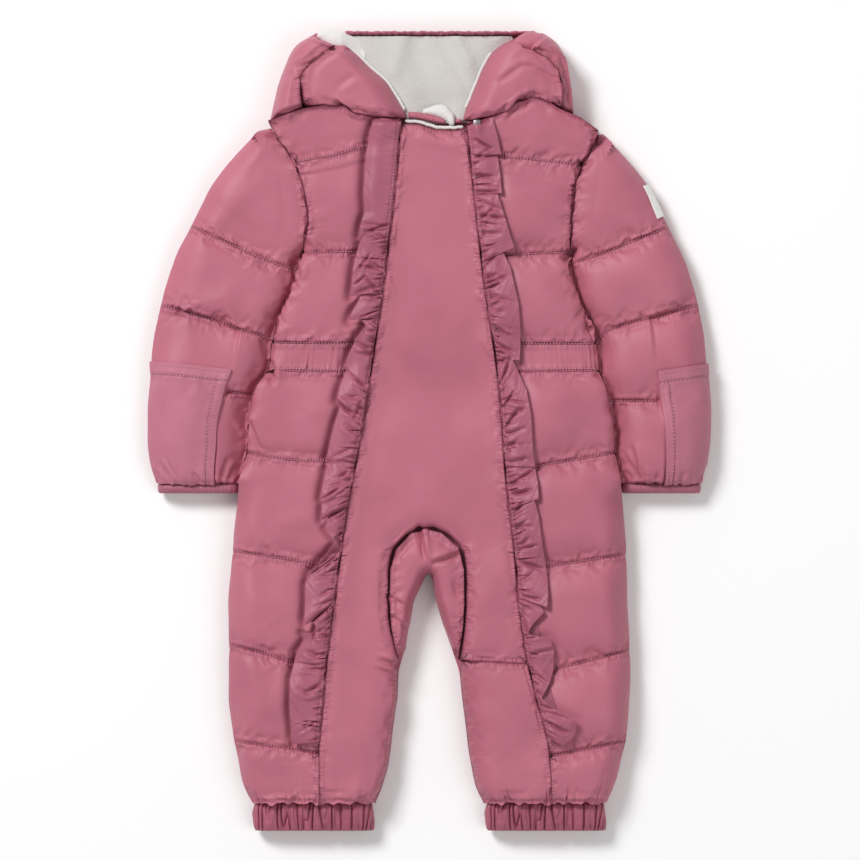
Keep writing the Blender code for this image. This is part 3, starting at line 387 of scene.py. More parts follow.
MITT_SHARE = {"right": 0.7, "left": 0.465}  # of the sleeve's width that the mitt covers
MITT_LINE = 3  # the mitt's top lies on this line of the sleeve
BACK_QUILT = [[(-122, 245), (137, 243)], [(-114, 160), (127, 160)]]
print("lines across a sleeve:", len(SLEEVE_QUILT["left"]))

# %% [markdown]
# ## Drawing a panel
#
# A panel is a grid between two edge lines, with a row on each line of quilting. Its first height is the
# padded form: a round roll at a free edge, a low line at a seam and a swell between. Its rows and
# columns stay in order, so a pucker or a stitch can be placed by how far it is from a seam.

# %% Grids
CLOTH_STEP = 2.7  # mm between threads of the simulated grid
FAR = 50.0  # mm, a distance that stands for no seam near


def follow(edge, slip=0.0, rounding=7.0):
    """A function of height y that gives x on an edge line, its corners rounded, moved across by slip."""
    heights = [row[0] for row in edge[::-1]]
    across = [row[1] for row in edge[::-1]]
    window = np.linspace(-rounding, rounding, 9)
    return lambda y: np.interp(np.asarray(y)[..., None] + window, heights, across).mean(axis=-1) + slip


def outward(side, amount):
    return amount if side == "left" else -amount


def line_points(line, shares):
    """Points of a line across, at shares of its width."""
    table = np.array(line, float)
    across = table[0, 0] + (table[-1, 0] - table[0, 0]) * np.asarray(shares)
    order = np.argsort(table[:, 0])
    return np.column_stack([across, np.interp(across, table[order, 0], table[order, 1])])


def lowered(line, drop):
    return [(x, y - drop) for x, y in line]


def even_shares(*marks, width):
    """Shares from mark to mark, about a cloth step apart on a piece of this width."""
    parts = []
    for first, last in zip(marks, marks[1:]):
        count = max(2, round((last - first) * width / CLOTH_STEP))
        parts.append(np.linspace(first, last, count + 1)[:-1])
    return np.concatenate([*parts, [marks[-1]]])


def cloth_rows(lines, edges, columns, notch=0.0):
    """A grid between two edges with a row on each line; each row's share of its channel; the lines' rows."""
    drawn = [line_points(line, columns) for line in lines]
    rows, places, line_rows = [], [], [0]
    for upper, lower in zip(drawn, drawn[1:]):
        count = max(3, round(norm(upper - lower, axis=1).mean() / CLOTH_STEP))
        for k in range(count):
            rows.append(upper + (lower - upper) * (k / count))
            places.append(k / count)
        line_rows.append(len(rows))
    grid, places = np.array([*rows, drawn[-1]]), np.array([*places, 1.0])
    first = edges[0](grid[:, 0, 1]) - grid[:, 0, 0]
    last = edges[1](grid[:, -1, 1]) - grid[:, -1, 0]
    pull = notch * (1 - quilted(places)) * np.sign(grid[:, -1, 0] - grid[:, 0, 0])
    grid[:, :, 0] += (first + pull)[:, None] * (1 - columns) + last[:, None] * columns
    return grid, places, line_rows


def quilted(place, fullness=3.2):
    """Swell of a channel from 0 at its two seams to 1 between them."""
    return (1 - np.abs(2 * np.asarray(place) - 1) ** fullness) ** 0.6


def hem(distance, roll):
    """Quarter-round rise from 0 at an edge to 1 at roll from it."""
    return np.sqrt(1 - (1 - np.clip(distance / roll, 0, 1)) ** 2)


def resampled(table, at):
    """The rows of a table at these places between them."""
    return np.column_stack([np.interp(at, range(len(table)), column) for column in table.T])


def finer_rows(table, lengths, step, least):
    """A table with rows about a step apart, given the lengths between its own; each gets at least so many."""
    steps = np.concatenate([[0], np.cumsum(np.maximum(least, np.round(lengths / step)))])
    return resampled(table, np.interp(np.arange(steps[-1] + 1), steps, range(len(table))))


def run_along(line):
    """How far each point of a line is along it."""
    return np.concatenate([[0], np.cumsum(norm(np.diff(line, axis=0), axis=1))])


def ease(values):
    """Smooths the rows of a line or grid once, in place; half of each comes from its two neighbours."""
    values[1:-1] = (values[:-2] + 2 * values[1:-1] + values[2:]) / 4


def bell(distance, width):
    """1 at no distance, falling to near 0 beyond twice the width."""
    return np.exp(-((distance / width) ** 2))


def reach(grid, column):
    return norm(grid - grid[:, column][:, None], axis=2)


def end_reach(grid, row):
    return norm(grid - grid[row][None], axis=2)


def rolled_off(grid, free, side_roll, ends):
    """1 on a panel, falling to 0 in a round roll; free says how far each side rolls and is not a seam."""
    body = np.ones(grid.shape[:2])
    for column, share in zip((0, -1), free):
        share = np.broadcast_to(share, grid.shape[0])[:, None]
        body *= 1 - share * (1 - hem(reach(grid, column), side_roll))
    for row, roll in zip((0, -1), ends):
        if roll:
            body *= hem(end_reach(grid, row), roll)
    return body


def padded_height(grid, swell, padding, free=(1, 0), floor=FRONT_FLOOR, side_roll=SIDE_ROLL, ends=(0, 0),
                  seam_roll=SEAM_ROLL):
    """A function of the puff's share that gives the height of a padded front panel."""
    seam, puff = padding
    body = rolled_off(grid, free, side_roll, ends)
    full = hem(reach(grid, 0) + RIM, seam_roll) * hem(reach(grid, -1) + RIM, seam_roll)
    swell = np.asarray(swell)[:, None] if np.ndim(swell) == 1 else swell
    return lambda share: floor + EDGE_WALL + body * (seam + puff * share * full * swell)


print("steps across a 90 mm side front:", len(even_shares(0, 1, width=90)) - 1)


# %% Pieces from grids
def lay_grid(mesh, points):
    """A grid of faces through rows of points, in mm; gives its vertices by row and column."""
    rows, columns = points.shape[:2]
    made = bmesh.ops.create_grid(mesh, x_segments=columns - 1, y_segments=rows - 1, size=1)
    placed = {}
    for vert in made["verts"]:
        i = round((vert.co.y + 1) / 2 * (rows - 1))
        j = round((vert.co.x + 1) / 2 * (columns - 1))
        vert.co = points[i, j] * MM
        placed[i, j] = vert
    return placed


def finished(mesh, name, material, replaced=()):
    """The object made from a mesh; it rides on the suit's one body and stands for these solids."""
    bmesh.ops.recalc_face_normals(mesh, faces=mesh.faces)
    data = bpy.data.meshes.new(name)
    mesh.to_mesh(data)
    mesh.free()
    data.materials.append(material)
    data.shade_smooth()
    data.set_sharp_from_angle(angle=math.radians(62))
    piece = bpy.data.objects.new(name, data)
    scene.collection.objects.link(piece)
    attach(piece, "root")
    if replaced:
        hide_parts(*replaced)
    pieces[name] = piece
    return piece


pieces = {}


def close_onto(mesh, height):
    """Walls from the open rim straight down to a level, and one flat face across it."""
    rim = [edge for edge in mesh.edges if edge.is_boundary]
    for part in bmesh.ops.extrude_edge_only(mesh, edges=rim)["geom"]:
        if isinstance(part, bmesh.types.BMVert):
            part.co.z = height * MM
    bmesh.ops.contextual_create(mesh, geom=[edge for edge in mesh.edges if edge.is_boundary])


def twice_as_fine(points):
    """The same grid with a row and a column between each two, on a smooth curve through them."""
    for _ in range(2):
        ends = np.concatenate([2 * points[:1] - points[1:2], points, 2 * points[-1:] - points[-2:-1]])
        between = (9 * (points[:-1] + points[1:]) - ends[:-3] - ends[3:]) / 16
        finer = np.empty((2 * len(points) - 1, *points.shape[1:]))
        finer[::2], finer[1::2] = points, between
        points = finer.swapaxes(0, 1)
    return points


def uneven(value, seed):
    """A smooth random wave of about -1 to 1 with a bump every 1 to 2 units."""
    value = np.asarray(value, float)
    turns = ((1.0, 0.0, 0.5), (0.61, 1.7, 0.32), (1.73, 4.1, 0.3), (0.27, 2.6, 0.24))
    return sum(share * np.sin(2 * math.pi * rate * value * (1 + 0.03 * (seed % 5)) + phase * (seed + 1))
               for rate, phase, share in turns)


print("a wave:", np.round(uneven(np.arange(4), 1), 2))

# %% [markdown]
# ## Blowing the panels up
#
# The shell is cut a little larger than the wadding under it, so it buckles next to each seam. The
# simulation does just that: the grid's springs are a few percent longer than drawn, its seams are
# pinned, and air pressure lifts the rest. All the panels are simulated together, in twenty frames.

# %% A list of panels
CLOTH = {"pressure": 5.0, "longer": 0.045, "frames": 20, "start": 0.8}
SLACK_UP, SLACK_ACROSS = 1.6, 2.2  # mm that the cloth may leave its padded form by
panels = {}
print("the cloth is", CLOTH["longer"] * 100, "% longer than its pattern")

# %% [markdown]
# ## The shell's nylon and the other finishes
#
# The shell is a dyed nylon taffeta with a satin face: a smooth woven cloth whose weave, about 0.3 mm, is
# too fine to see from here, so it only softens the highlight. What the eye does see is the dye, a dusty
# rose. Along each seam its colour is painted darker, a painted shade for the needle holes and folds that
# keep the light out. Each panel carries an attribute, "seam", that says how many millimetres a point is
# from its nearest stitching, and the painted shade reads it.


# %% Nylon
def woven_bump(tree, coordinates, pitch_mm, strength, height_mm):
    """Normals of a plain weave: two sets of threads of this pitch, at right angles."""
    scale = 2 * math.pi / (20 * pitch_mm * MM)  # a wave texture repeats 20 times in 2 pi
    threads = [add_node(tree, "TexWave", {"Vector": coordinates}, {"Scale": scale, "Distortion": 0.4},
                        bands_direction=direction) for direction in ("X", "Y")]
    both = maths(tree, "MULTIPLY", threads[0].outputs["Fac"], threads[1].outputs["Fac"])
    return bump(tree, both, strength, height_mm)


def fine_puckers(tree, seam, height_mm, under):
    """Bump of the finest puckers beside a seam: ripples a few millimetres apart that run out from it."""
    along = add_node(tree, "Attribute", attribute_name="along")
    place = add_node(tree, "CombineXYZ", {"X": along.outputs["Fac"], "Y": seam})
    ripple = add_node(tree, "Mapping", {"Vector": place.outputs[0]}, {"Scale": (0.42, 0.11, 1)})
    ripples = noise(tree, ripple.outputs[0], 1, 1.5)
    fade = remap(tree, seam, 0.4, 8.0, 1.0, 0.0, interpolation_type="SMOOTHERSTEP")
    return bump(tree, maths(tree, "MULTIPLY", ripples, fade), 1.0, height_mm, Normal=under)


def taffeta(name, lit, deep, roughness, sheen, ripple_mm=2.6):
    """Satin-faced nylon taffeta, dyed and a little cloudy all over, with a painted shade along its seams."""
    made, tree, shader = start_material(
        name, Roughness=roughness, Sheen_Weight=sheen, Sheen_Roughness=0.45, Sheen_Tint=to_linear("#E9B9C4"),
        Specular_IOR_Level=0.38)
    place = add_node(tree, "TexCoord").outputs["Object"]
    seam = add_node(tree, "Attribute", attribute_name="seam").outputs["Fac"]
    # Painted shade: within 1.7 mm of the stitching the colour turns towards the deep one.
    near = remap(tree, seam, 0.2, 1.7, 0.7, 0.0, interpolation_type="SMOOTHSTEP")
    cloud = remap(tree, noise(tree, place, 14, 3, Roughness=0.55), 0.35, 0.7, 0.0, 0.22)
    # The deep colour serves both the painted seam shade and the cloth's random cloudy tone.
    depth = maths(tree, "ADD", near, cloud, use_clamp=True)
    tree.links.new(two_colours(tree, depth, lit, deep), shader.inputs["Base Color"])
    weave = woven_bump(tree, place, 0.5, 0.25, 0.05)
    tree.links.new(fine_puckers(tree, seam, ripple_mm, weave), shader.inputs["Normal"])
    return made


# Each nylon's second colour is both its cloudy tone and its painted shade along the seams.
shell_nylon = taffeta("nylon_taffeta_quilted", "#BA6A7C", "#84394E", roughness=0.52, sheen=0.12)
ruffle_nylon = taffeta("nylon_taffeta_single", "#A95D72", "#77354D", roughness=0.48, sheen=0.08, ripple_mm=1.6)
binding_nylon = taffeta("nylon_ribbed_binding", "#BC7184", "#844558", roughness=0.55, sheen=0.1, ripple_mm=1.2)
print("nylons:", [m.name for m in (shell_nylon, ruffle_nylon, binding_nylon)])


# %% Fleece, thread, zip and label
def fleece_pile(name, lit, deep):
    """Brushed polyester fleece: a matt, cloudy white nap of about a millimetre."""
    made, tree, shader = start_material(name, Roughness=0.95, Sheen_Weight=0.5, Sheen_Roughness=0.6,
                                        Specular_IOR_Level=0.2)
    place = add_node(tree, "TexCoord").outputs["Object"]
    tufts = noise(tree, place, 420, 4, Roughness=0.7)
    tree.links.new(two_colours(tree, noise(tree, place, 38, 3), lit, deep), shader.inputs["Base Color"])
    tree.links.new(bump(tree, tufts, 0.7, 0.9), shader.inputs["Normal"])
    return made


def plain_yarn(name, colour, roughness, pitch_mm):
    """A woven or twisted yarn of one colour, seen by its threads."""
    made, tree, shader = start_material(name, Base_Color=to_linear(colour), Roughness=roughness)
    place = add_node(tree, "TexCoord").outputs["Object"]
    tree.links.new(woven_bump(tree, place, pitch_mm, 0.5, 0.15), shader.inputs["Normal"])
    return made


white_fleece = fleece_pile("polyester_fleece_brushed", "#E6E5E3", "#D8D7D4")
# The same white fleece, painted darker: a painted shade for the hollow of the hood, which lies flat here.
lining_fleece_painted_shade = fleece_pile("polyester_fleece_lining_painted_shade", "#D2D0CC", "#C1BFBA")
# Lighter than the cloth: partly the thread's own colour and partly a painted highlight on each stitch.
thread = plain_yarn("polyester_sewing_thread", "#CF8C9E", 0.6, 0.3)
tape_yarn = plain_yarn("polyester_zip_tape", "#9A5268", 0.7, 0.6)
label_yarn = plain_yarn("woven_label_white", "#F1F0ED", 0.75, 0.5)
zip_plastic, _, _ = start_material("moulded_acetal_teeth", Base_Color=to_linear("#8C4C5E"), Roughness=0.35)


def cast_metal(name, colour, roughness):
    """Die-cast, tumbled and plated metal: bright, with a fine grain in its shine."""
    made, tree, shader = start_material(name, Base_Color=to_linear(colour), Metallic=1.0)
    place = add_node(tree, "TexCoord").outputs["Object"]
    shine = remap(tree, noise(tree, place, 900, 2), 0, 1, roughness - 0.08, roughness + 0.1)
    tree.links.new(shine, shader.inputs["Roughness"])
    return made


zip_metal = cast_metal("zamak_plated", "#A39C9E", 0.36)
print("finishes:", [made.name for made in bpy.data.materials])

# %% [markdown]
# ## The side fronts
#
# Each side front is quilted into channels across the body, with a casing of elastic at the waist. Its
# outer edge is a fold that rolls round to the back, and its inner edge is sewn into the front seam with
# the ruffle. It is made in three pieces, because the casing is sewn in between two of them.


# %% Parts of a panel
# How the cloth buckles beside a seam: how deep in mm, how far in from it, and from one buckle to the next.
# Nearer than "keep" the simulated crumples stay, and "hidden" stitching leaves no dark line.
QUILTING = {"depth": 1.4, "reach": 4.2, "pitch": 7.5, "keep": 4}
FRONT_SEWING = {"depth": 1.3, "reach": 4.0, "pitch": 7.0, "keep": 3}
ARMHOLE_SEWING = {"depth": 1.4, "reach": 4.5, "pitch": 7.5, "keep": 3}
HOOD_SEWING = {"depth": 0.9, "reach": 4.0, "pitch": 8.0, "keep": 2}
CENTRE_SEWING = {"depth": 0.8, "reach": 3.2, "pitch": 6.5, "keep": 0}
PLAIN_SEAM = {"depth": 0.8, "reach": 4.0, "pitch": 9.0, "keep": 2}
WAIST_ELASTIC = {"depth": 1.5, "reach": 14.0, "pitch": 13.0, "keep": -12}
ANKLE_ELASTIC = {"depth": 2.6, "reach": 11.0, "pitch": 10.0, "keep": 6, "hidden": 4}
WRIST_GATHERS = {"depth": 1.2, "reach": 8.0, "pitch": 14.0, "keep": 4}


def part(grid, height, seams, pinned_rows=(0, -1), **facts):
    """One grid of a panel: height(puff share) gives its form in mm.

    seams is a list of ("row" or "column", its index, how it buckles, the first point that is sewn); less
    than 0 there says how many points are, from the start.
    """
    pinned = np.zeros(grid.shape[:2], bool)
    pinned[list(pinned_rows)] = True
    pinned[:, [0, -1]] = True
    seams = [(kind, index % grid.shape[kind == "column"], style, first) for kind, index, style, first in seams]
    for kind, index, _, first in seams:
        if kind == "row":
            pinned[index, first:] = True
    return {"grid": grid, "form": height(1.0), "start": height(CLOTH["start"]), "pinned": pinned,
            "seams": seams, **facts}


SEWN = (0, 0)  # neither side is free
CLOSE_PAIR, AFTER_PAIR = (0.9, 2.2), 3.6  # columns beside a free edge, in mm from it


def edge_shares(width, free_last=False):
    """Columns a cloth step apart, with a closer pair at a free edge, where the cloth turns down."""
    close, next_column = np.array(CLOSE_PAIR) / width, AFTER_PAIR / width
    inner = even_shares(next_column, 1 - next_column if free_last else 1, width=width)
    return np.concatenate([[0, *close], inner, [*(1 - close[::-1]), 1] if free_last else []])


FILL_SHARE = 0.55


def with_shallow_seam(grid, height, edge, drop=2.2, width=2.5, fill=13.0, span=(-900, -899)):
    """The same heights, with the roll at an edge filled up where its seam is only a shallow line.

    edge is "row" or "column" and its index. The line is about drop deep and width wide. The roll is
    filled up this far in, but no further than a share of the piece's width. span is the y where that
    starts and the y where it is complete.
    """
    kind, index = edge
    turned = grid if kind == "column" else grid.swapaxes(0, 1)
    near = reach(turned, index)
    share = np.interp(turned[:, :, 1], span, (0, 1)) * (near < fill)
    run = norm(turned[:, index] - turned[0, index], axis=1)[:, None]
    line = drop * (1 + 0.4 * uneven(run / 30, 8)) * np.exp(-near / width)
    inwards = 1 if index == 0 else -1

    def filled(puff_share):
        rolled = height(puff_share)
        rolled = rolled if kind == "column" else rolled.T
        rows = zip(near[:, ::inwards], rolled[:, ::inwards])
        level = [np.interp(min(fill, FILL_SHARE * away[-1]), away, row) for away, row in rows]
        level = np.array(level)[:, None]
        rolled = rolled + (np.maximum(rolled, level - line) - rolled) * share
        return rolled if kind == "column" else rolled.T

    return filled


ARMHOLE = {"span": (150, 176), "drop": 5.5, "width": 4.0, "fill": 22.0}  # sewn above this y, loose below
FRONT_LINE = {"drop": 3.2, "width": 2.0}
FRONT_EDGE = {"drop": 9.0, "width": 4.0, "fill": 26.0}  # of the body beside a sleeve, which lies lower
BESIDE_SLEEVE = (-64, -44)
ANKLE_FILL = {"drop": 6.5, "width": 3.0, "fill": 12.0}


def add_panel(name, parts, fill, floor=FRONT_FLOOR):
    panels[name] = {"parts": parts, "floor": floor, "fill": fill}


FRONT_WIDE = 92
print("columns of a side front:", len(edge_shares(FRONT_WIDE)))

# %% Side fronts
YOKE_START = 0.3  # the yoke is already this far into its puff where it meets the hood
YOKE_LINE_REACH = 15  # mm beside the yoke's quilting, which is only a shallow line at the front seam
YOKE_LINE_LEAST, YOKE_LINE_DEPTH, YOKE_LINE_WIDE = 0.92, 0.4, 2.2  # swell beside it, its dip, half its width
for side in SIDES:
    edges = (follow(SIDE_EDGE[side], -outward(side, MEET)), follow(FRONT_SEAM[side], outward(side, GAP / 2)))
    waist_top, waist_bottom = WAIST_LINES[side]
    upper_lines = [lowered(SHOULDER[side], GAP), *YOKE_QUILT[side], lowered(waist_top, -GAP / 2)]
    waist_lines = [lowered(waist_top, GAP / 2), lowered(waist_bottom, -GAP / 2)]
    lower_lines = [lowered(waist_bottom, GAP / 2), *LEG_QUILT[side], lowered(ANKLE_LINE[side], -GAP / 2)]
    for name, lines, notch, top, bottom, least in (
        ("front_upper_", upper_lines, QUILT_NOTCH, PLAIN_SEAM, QUILTING, 0.33),
        ("front_waist_", waist_lines, 0.0, WAIST_ELASTIC, WAIST_ELASTIC, 0.7),
        ("front_lower_", lower_lines, QUILT_NOTCH, QUILTING, ANKLE_ELASTIC, 0.33),
    ):
        grid, places, line_rows = cloth_rows(lines, edges, edge_shares(FRONT_WIDE), notch)
        swell = least + (1 - least) * quilted(places)
        if name == "front_upper_":
            yoke = slice(0, line_rows[1])
            swell[yoke] = quilted(YOKE_START + (1 - YOKE_START) * places[yoke])
            beside = np.abs(grid[:, -1, 1] - grid[line_rows[1], -1, 1])
            shallow = YOKE_LINE_LEAST - YOKE_LINE_DEPTH * np.exp(-beside / YOKE_LINE_WIDE)
            swell = np.maximum(swell, np.where(beside < YOKE_LINE_REACH, shallow, 0))
        seams = [("row", row, QUILTING, 0) for row in line_rows[1:-1]]
        seams += [("row", 0, top, 0), ("row", -1, bottom, 0), ("column", -1, FRONT_SEWING, 0)]
        if name == "front_upper_":
            seams.append(("column", 0, ARMHOLE_SEWING, -int(np.sum(grid[:, 0, 1] > ARMHOLE["span"][1]))))
        height = with_shallow_seam(grid, padded_height(grid, swell, PADDING[name]), ("column", 0), **ARMHOLE)
        height = with_shallow_seam(grid, height, ("column", 0), span=BESIDE_SLEEVE, **FRONT_EDGE)
        height = with_shallow_seam(grid, height, ("column", -1), fill=SEAM_ROLL, **FRONT_LINE)
        if name == "front_lower_":
            height = with_shallow_seam(grid, height, ("row", -1), **ANKLE_FILL)
        add_panel(name + side, [part(grid, height, seams, leans=(0,))], 0.6)
print({name: panel["parts"][0]["grid"].shape[:2] for name, panel in panels.items()})

# %% [markdown]
# ## The centre panel and the crotch gusset
#
# The centre panel has no quilting. It widens from the neck to the hips and splits round the crotch into
# both legs, and the left leg has one seam across it. Between the legs lies the gusset, a thick crescent
# that makes room for a nappy.


# %% Centre panel
def leg_rows(start, seam_foot, inner_foot, side):
    """Rows of the centre panel down one leg, from the points of the row above to the heights of its foot."""
    seam_edge = follow(FRONT_SEAM[side], -outward(side, GAP / 2))
    inner_edge = follow(INNER_LEG[side])
    along = norm(start - start[0], axis=1)
    shares = along / along[-1]
    foot_x = seam_edge(seam_foot) + (inner_edge(inner_foot) - seam_edge(seam_foot)) * shares
    foot = np.column_stack([foot_x, seam_foot + (inner_foot - seam_foot) * shares])
    count = round(abs(seam_foot - start[0][1]) / CLOTH_STEP)
    rows = start + (foot - start) * (np.arange(count + 1) / count)[:, None, None]
    rows[1:, :, 0] += (seam_edge(rows[1:, 0, 1]) - rows[1:, 0, 0])[:, None] * (1 - shares)
    rows[1:, :, 0] += (inner_edge(rows[1:, -1, 1]) - rows[1:, -1, 0])[:, None] * shares
    return rows


def leg_part(grid, seams, pinned_rows=(-1,), top_roll=0.0, bottom_roll=0.0):
    """A leg of the centre panel, whose inner edge is sewn to the gusset above and free below it."""
    inner_free = np.clip((GUSSET_FOOT - grid[:, -1, 1]) / GUSSET_END_ROLL, 0, 1)
    swell = rolled_off(grid, SEWN, 1, (top_roll, bottom_roll))
    height = padded_height(grid, swell, PADDING["centre"], free=(0, inner_free), seam_roll=CENTRE_ROLL)
    height = with_shallow_seam(grid, height, ("column", 0), fill=CENTRE_ROLL, **FRONT_LINE)
    for row, roll in ((0, top_roll), (-1, bottom_roll)):
        if roll == CROSS_ROLL:
            height = with_shallow_seam(grid, height, ("row", row), fill=CROSS_ROLL, **FRONT_LINE)
        if roll == END_ROLL:
            height = with_shallow_seam(grid, height, ("row", row), **ANKLE_FILL)
    sides = [("column", 0, CENTRE_SEWING, 0), ("column", -1, PLAIN_SEAM, 0)]
    return part(grid, height, sides + seams, pinned_rows)


CENTRE_ROLL = 10.0  # the panel rolls over this much at its seams
WAIST_DIP, WAIST_DIP_AT, WAIST_DIP_WIDE = 0.3, 30, 33  # share of the puff that the waist takes, and where
CENTRE_WIDE, SHIN_WIDE = 125, 64
marks = even_shares(0, *ARCH_SHARES, 1, width=CENTRE_WIDE)
split_right, split_left = (int(np.argmin(abs(marks - share))) for share in ARCH_SHARES)
body_edges = (follow(FRONT_SEAM["right"], GAP / 2), follow(FRONT_SEAM["left"], -GAP / 2))
upper, _, _ = cloth_rows([NECKLINE, CROTCH_ARCH], body_edges, marks)
arch = upper[-1, split_right : split_left + 1]
to_arch = np.min([norm(upper - point, axis=2) for point in arch], axis=0)
upper_swell = rolled_off(upper, SEWN, 1, (END_ROLL, 0)) * hem(to_arch + RIM, ARCH_ROLL)
upper_swell *= 1 - WAIST_DIP * bell(upper[:, :, 1] - WAIST_DIP_AT, WAIST_DIP_WIDE)
upper_height = padded_height(upper, upper_swell, PADDING["centre"], free=SEWN, seam_roll=CENTRE_ROLL)
for column in (0, -1):
    upper_height = with_shallow_seam(upper, upper_height, ("column", column), fill=CENTRE_ROLL, **FRONT_LINE)
upper_seams = [("row", 0, PLAIN_SEAM, 0), ("column", 0, CENTRE_SEWING, 0), ("column", -1, CENTRE_SEWING, 0)]
upper_part = part(upper, upper_height, upper_seams, pinned_rows=(0,))
upper_part["pinned"][-1, split_right : split_left + 1] = True

(_, seam_end), (_, inner_end) = lowered(LEFT_CROSS_SEAM, -GAP)
ankle_gathers = ("row", -1, ANKLE_ELASTIC, 0)
right_leg = leg_part(leg_rows(upper[-1, : split_right + 1], ANKLE_END, ANKLE_END, "right"), [ankle_gathers],
                     bottom_roll=END_ROLL)
left_leg = leg_part(leg_rows(upper[-1, split_left:][::-1], seam_end, inner_end, "left"),
                    [("row", -1, PLAIN_SEAM, 0)], bottom_roll=CROSS_ROLL)
for key in ("form", "start"):
    right_leg[key][0] = upper_part[key][-1, : split_right + 1]
    left_leg[key][0] = upper_part[key][-1, split_left:][::-1]
add_panel("front_centre", [upper_part, right_leg, left_leg], 0.7)

shin_edges = (follow(FRONT_SEAM["left"], -GAP / 2), follow(INNER_LEG["left"]))
shin, _, _ = cloth_rows([LEFT_CROSS_SEAM, SHIN_END], shin_edges, even_shares(0, 1, width=SHIN_WIDE))
shin_part = leg_part(shin, [("row", 0, PLAIN_SEAM, 0), ankle_gathers], (0, -1), CROSS_ROLL, END_ROLL)
add_panel("shin_left", [shin_part], 0.7)
print("centre panel:", [p["grid"].shape[:2] for p in panels["front_centre"]["parts"]])

# %% Crotch gusset
GUSSET_STEP, GUSSET_COLUMNS = 2.2, 12
GUSSET_FILL = 7.0  # mm that its outer roll is filled up
table = np.array(GUSSET, float)
lengths = norm(np.diff((table[:, :2] + table[:, 2:]) / 2, axis=0), axis=1)
ends = finer_rows(table, lengths, GUSSET_STEP, 2)
across = ends[:, 2:] - ends[:, :2]
ends[:, :2] += across / norm(across, axis=1)[:, None] * GUSSET_INSET
shares = np.linspace(0, 1, GUSSET_COLUMNS)[None, :, None]
gusset = ends[:, None, :2] * (1 - shares) + ends[:, None, 2:] * shares
gusset_height = padded_height(gusset, 1.0, PADDING["gusset"], free=(0, 1), side_roll=GUSSET_ROLL,
                              ends=(GUSSET_END_ROLL, GUSSET_END_ROLL))
gusset_height = with_shallow_seam(gusset, gusset_height, ("column", 0), fill=GUSSET_FILL, **FRONT_LINE)
add_panel("crotch_gusset", [part(gusset, gusset_height, [("column", 0, PLAIN_SEAM, 0)])], 0.8)
print("gusset:", gusset.shape[:2])

# %% [markdown]
# ## The sleeves and the hood
#
# The sleeves are quilted like the side fronts, but each lies on its own fold lines, so both of its
# sides roll round to the back. Where the mitt covers the sleeve there is no quilting. The hood lies
# open: its two sides are folded forward over the lining, and behind them its margins show at the edge.

# %% Sleeves
SLEEVE_TOP = {"right": [(-153, 270), (-143, 272)], "left": [(155.5, 267.2), (150.5, 266.2)]}
SLEEVE_WIDE = 104
OUTER_COLUMNS, INNER_COLUMNS = (0, 0.008, 0.02), (0.98, 0.992, 1)  # closer ones, where the cloth turns down
EVEN_COLUMNS = (0.032, 0.968)  # between these, as shares of the width, they are a cloth step apart
SLEEVE_LEAST = 0.22  # swell of a sleeve at its quilting
MITT_EDGE = 0.02  # share of the width over which the quilting fades under the mitt
SHOULDER_SPAN = (215, 262)  # y from where a sleeve's roll gets narrower, to where it is a shoulder's
ARMPIT_DIP = 9.0  # mm that a sleeve's inner side sinks beside the body, below the armhole
ARMPIT_REACH, ARMPIT_SPAN = 10, (135, 170)  # mm in from that side, and the y where it is full and none
for side in SIDES:
    edges = (follow(SLEEVE_EDGE[side]), follow(SIDE_EDGE[side], outward(side, MEET)))
    lines = [SLEEVE_TOP[side], *SLEEVE_QUILT[side][1:]]
    mitt_share = MITT_SHARE[side]
    even = even_shares(EVEN_COLUMNS[0], mitt_share, EVEN_COLUMNS[1], width=SLEEVE_WIDE)
    columns = np.concatenate([OUTER_COLUMNS, even, INNER_COLUMNS])
    grid, places, line_rows = cloth_rows(lines, edges, columns)
    mitt_column = int(np.argmin(abs(columns - mitt_share)))
    height = grid[:, 0, 1]
    first, covered, last = line_rows[MITT_LINE - 1], line_rows[MITT_LINE], line_rows[MITT_LINE + 1]
    swell = quilted(places)
    swell[first:last] = quilted((height[first] - height[first:last]) / (height[first] - height[last]))
    swell = SLEEVE_LEAST + (1 - SLEEVE_LEAST) * np.repeat(swell[:, None], len(columns), axis=1)
    plain = quilted((height[first] - height[first:]) / (height[first] - height[-1]), MITT_FULLNESS)
    under_mitt = np.clip((mitt_share + MITT_EDGE - columns) / MITT_EDGE, 0, 1)
    swell[first:] += (plain[:, None] - swell[first:]) * under_mitt
    seams = [("row", row, QUILTING, 0) for row in line_rows[1:MITT_LINE]]
    seams += [("row", row, QUILTING, mitt_column + 2) for row in line_rows[MITT_LINE + 1 : -1]]
    roll = np.interp(grid[:, :, 1], SHOULDER_SPAN, (SLEEVE_ROLL, SHOULDER_ROLL))
    padded = padded_height(grid, swell, PADDING["sleeve"], free=(1, 1), side_roll=roll, ends=(2, 0))
    height = with_shallow_seam(grid, padded, ("column", -1), **ARMHOLE)
    dip = ARMPIT_DIP * np.exp(-reach(grid, -1) / ARMPIT_REACH) * np.interp(grid[:, :, 1], ARMPIT_SPAN, (1, 0))
    armhole = ("column", -1, ARMHOLE_SEWING, -int(np.sum(grid[:, -1, 1] > ARMHOLE["span"][1])))
    sleeve = part(grid, lambda share: np.maximum(height(share) - dip, FRONT_FLOOR + EDGE_WALL),
                  [*seams, ("row", -1, WRIST_GATHERS, 0), armhole], leans=(-1,))
    sleeve["mitt"] = (covered, mitt_column)
    add_panel("sleeve_front_" + side, [sleeve], 0.65)
    print("sleeve:", side, grid.shape[:2], "rows of its lines:", line_rows)

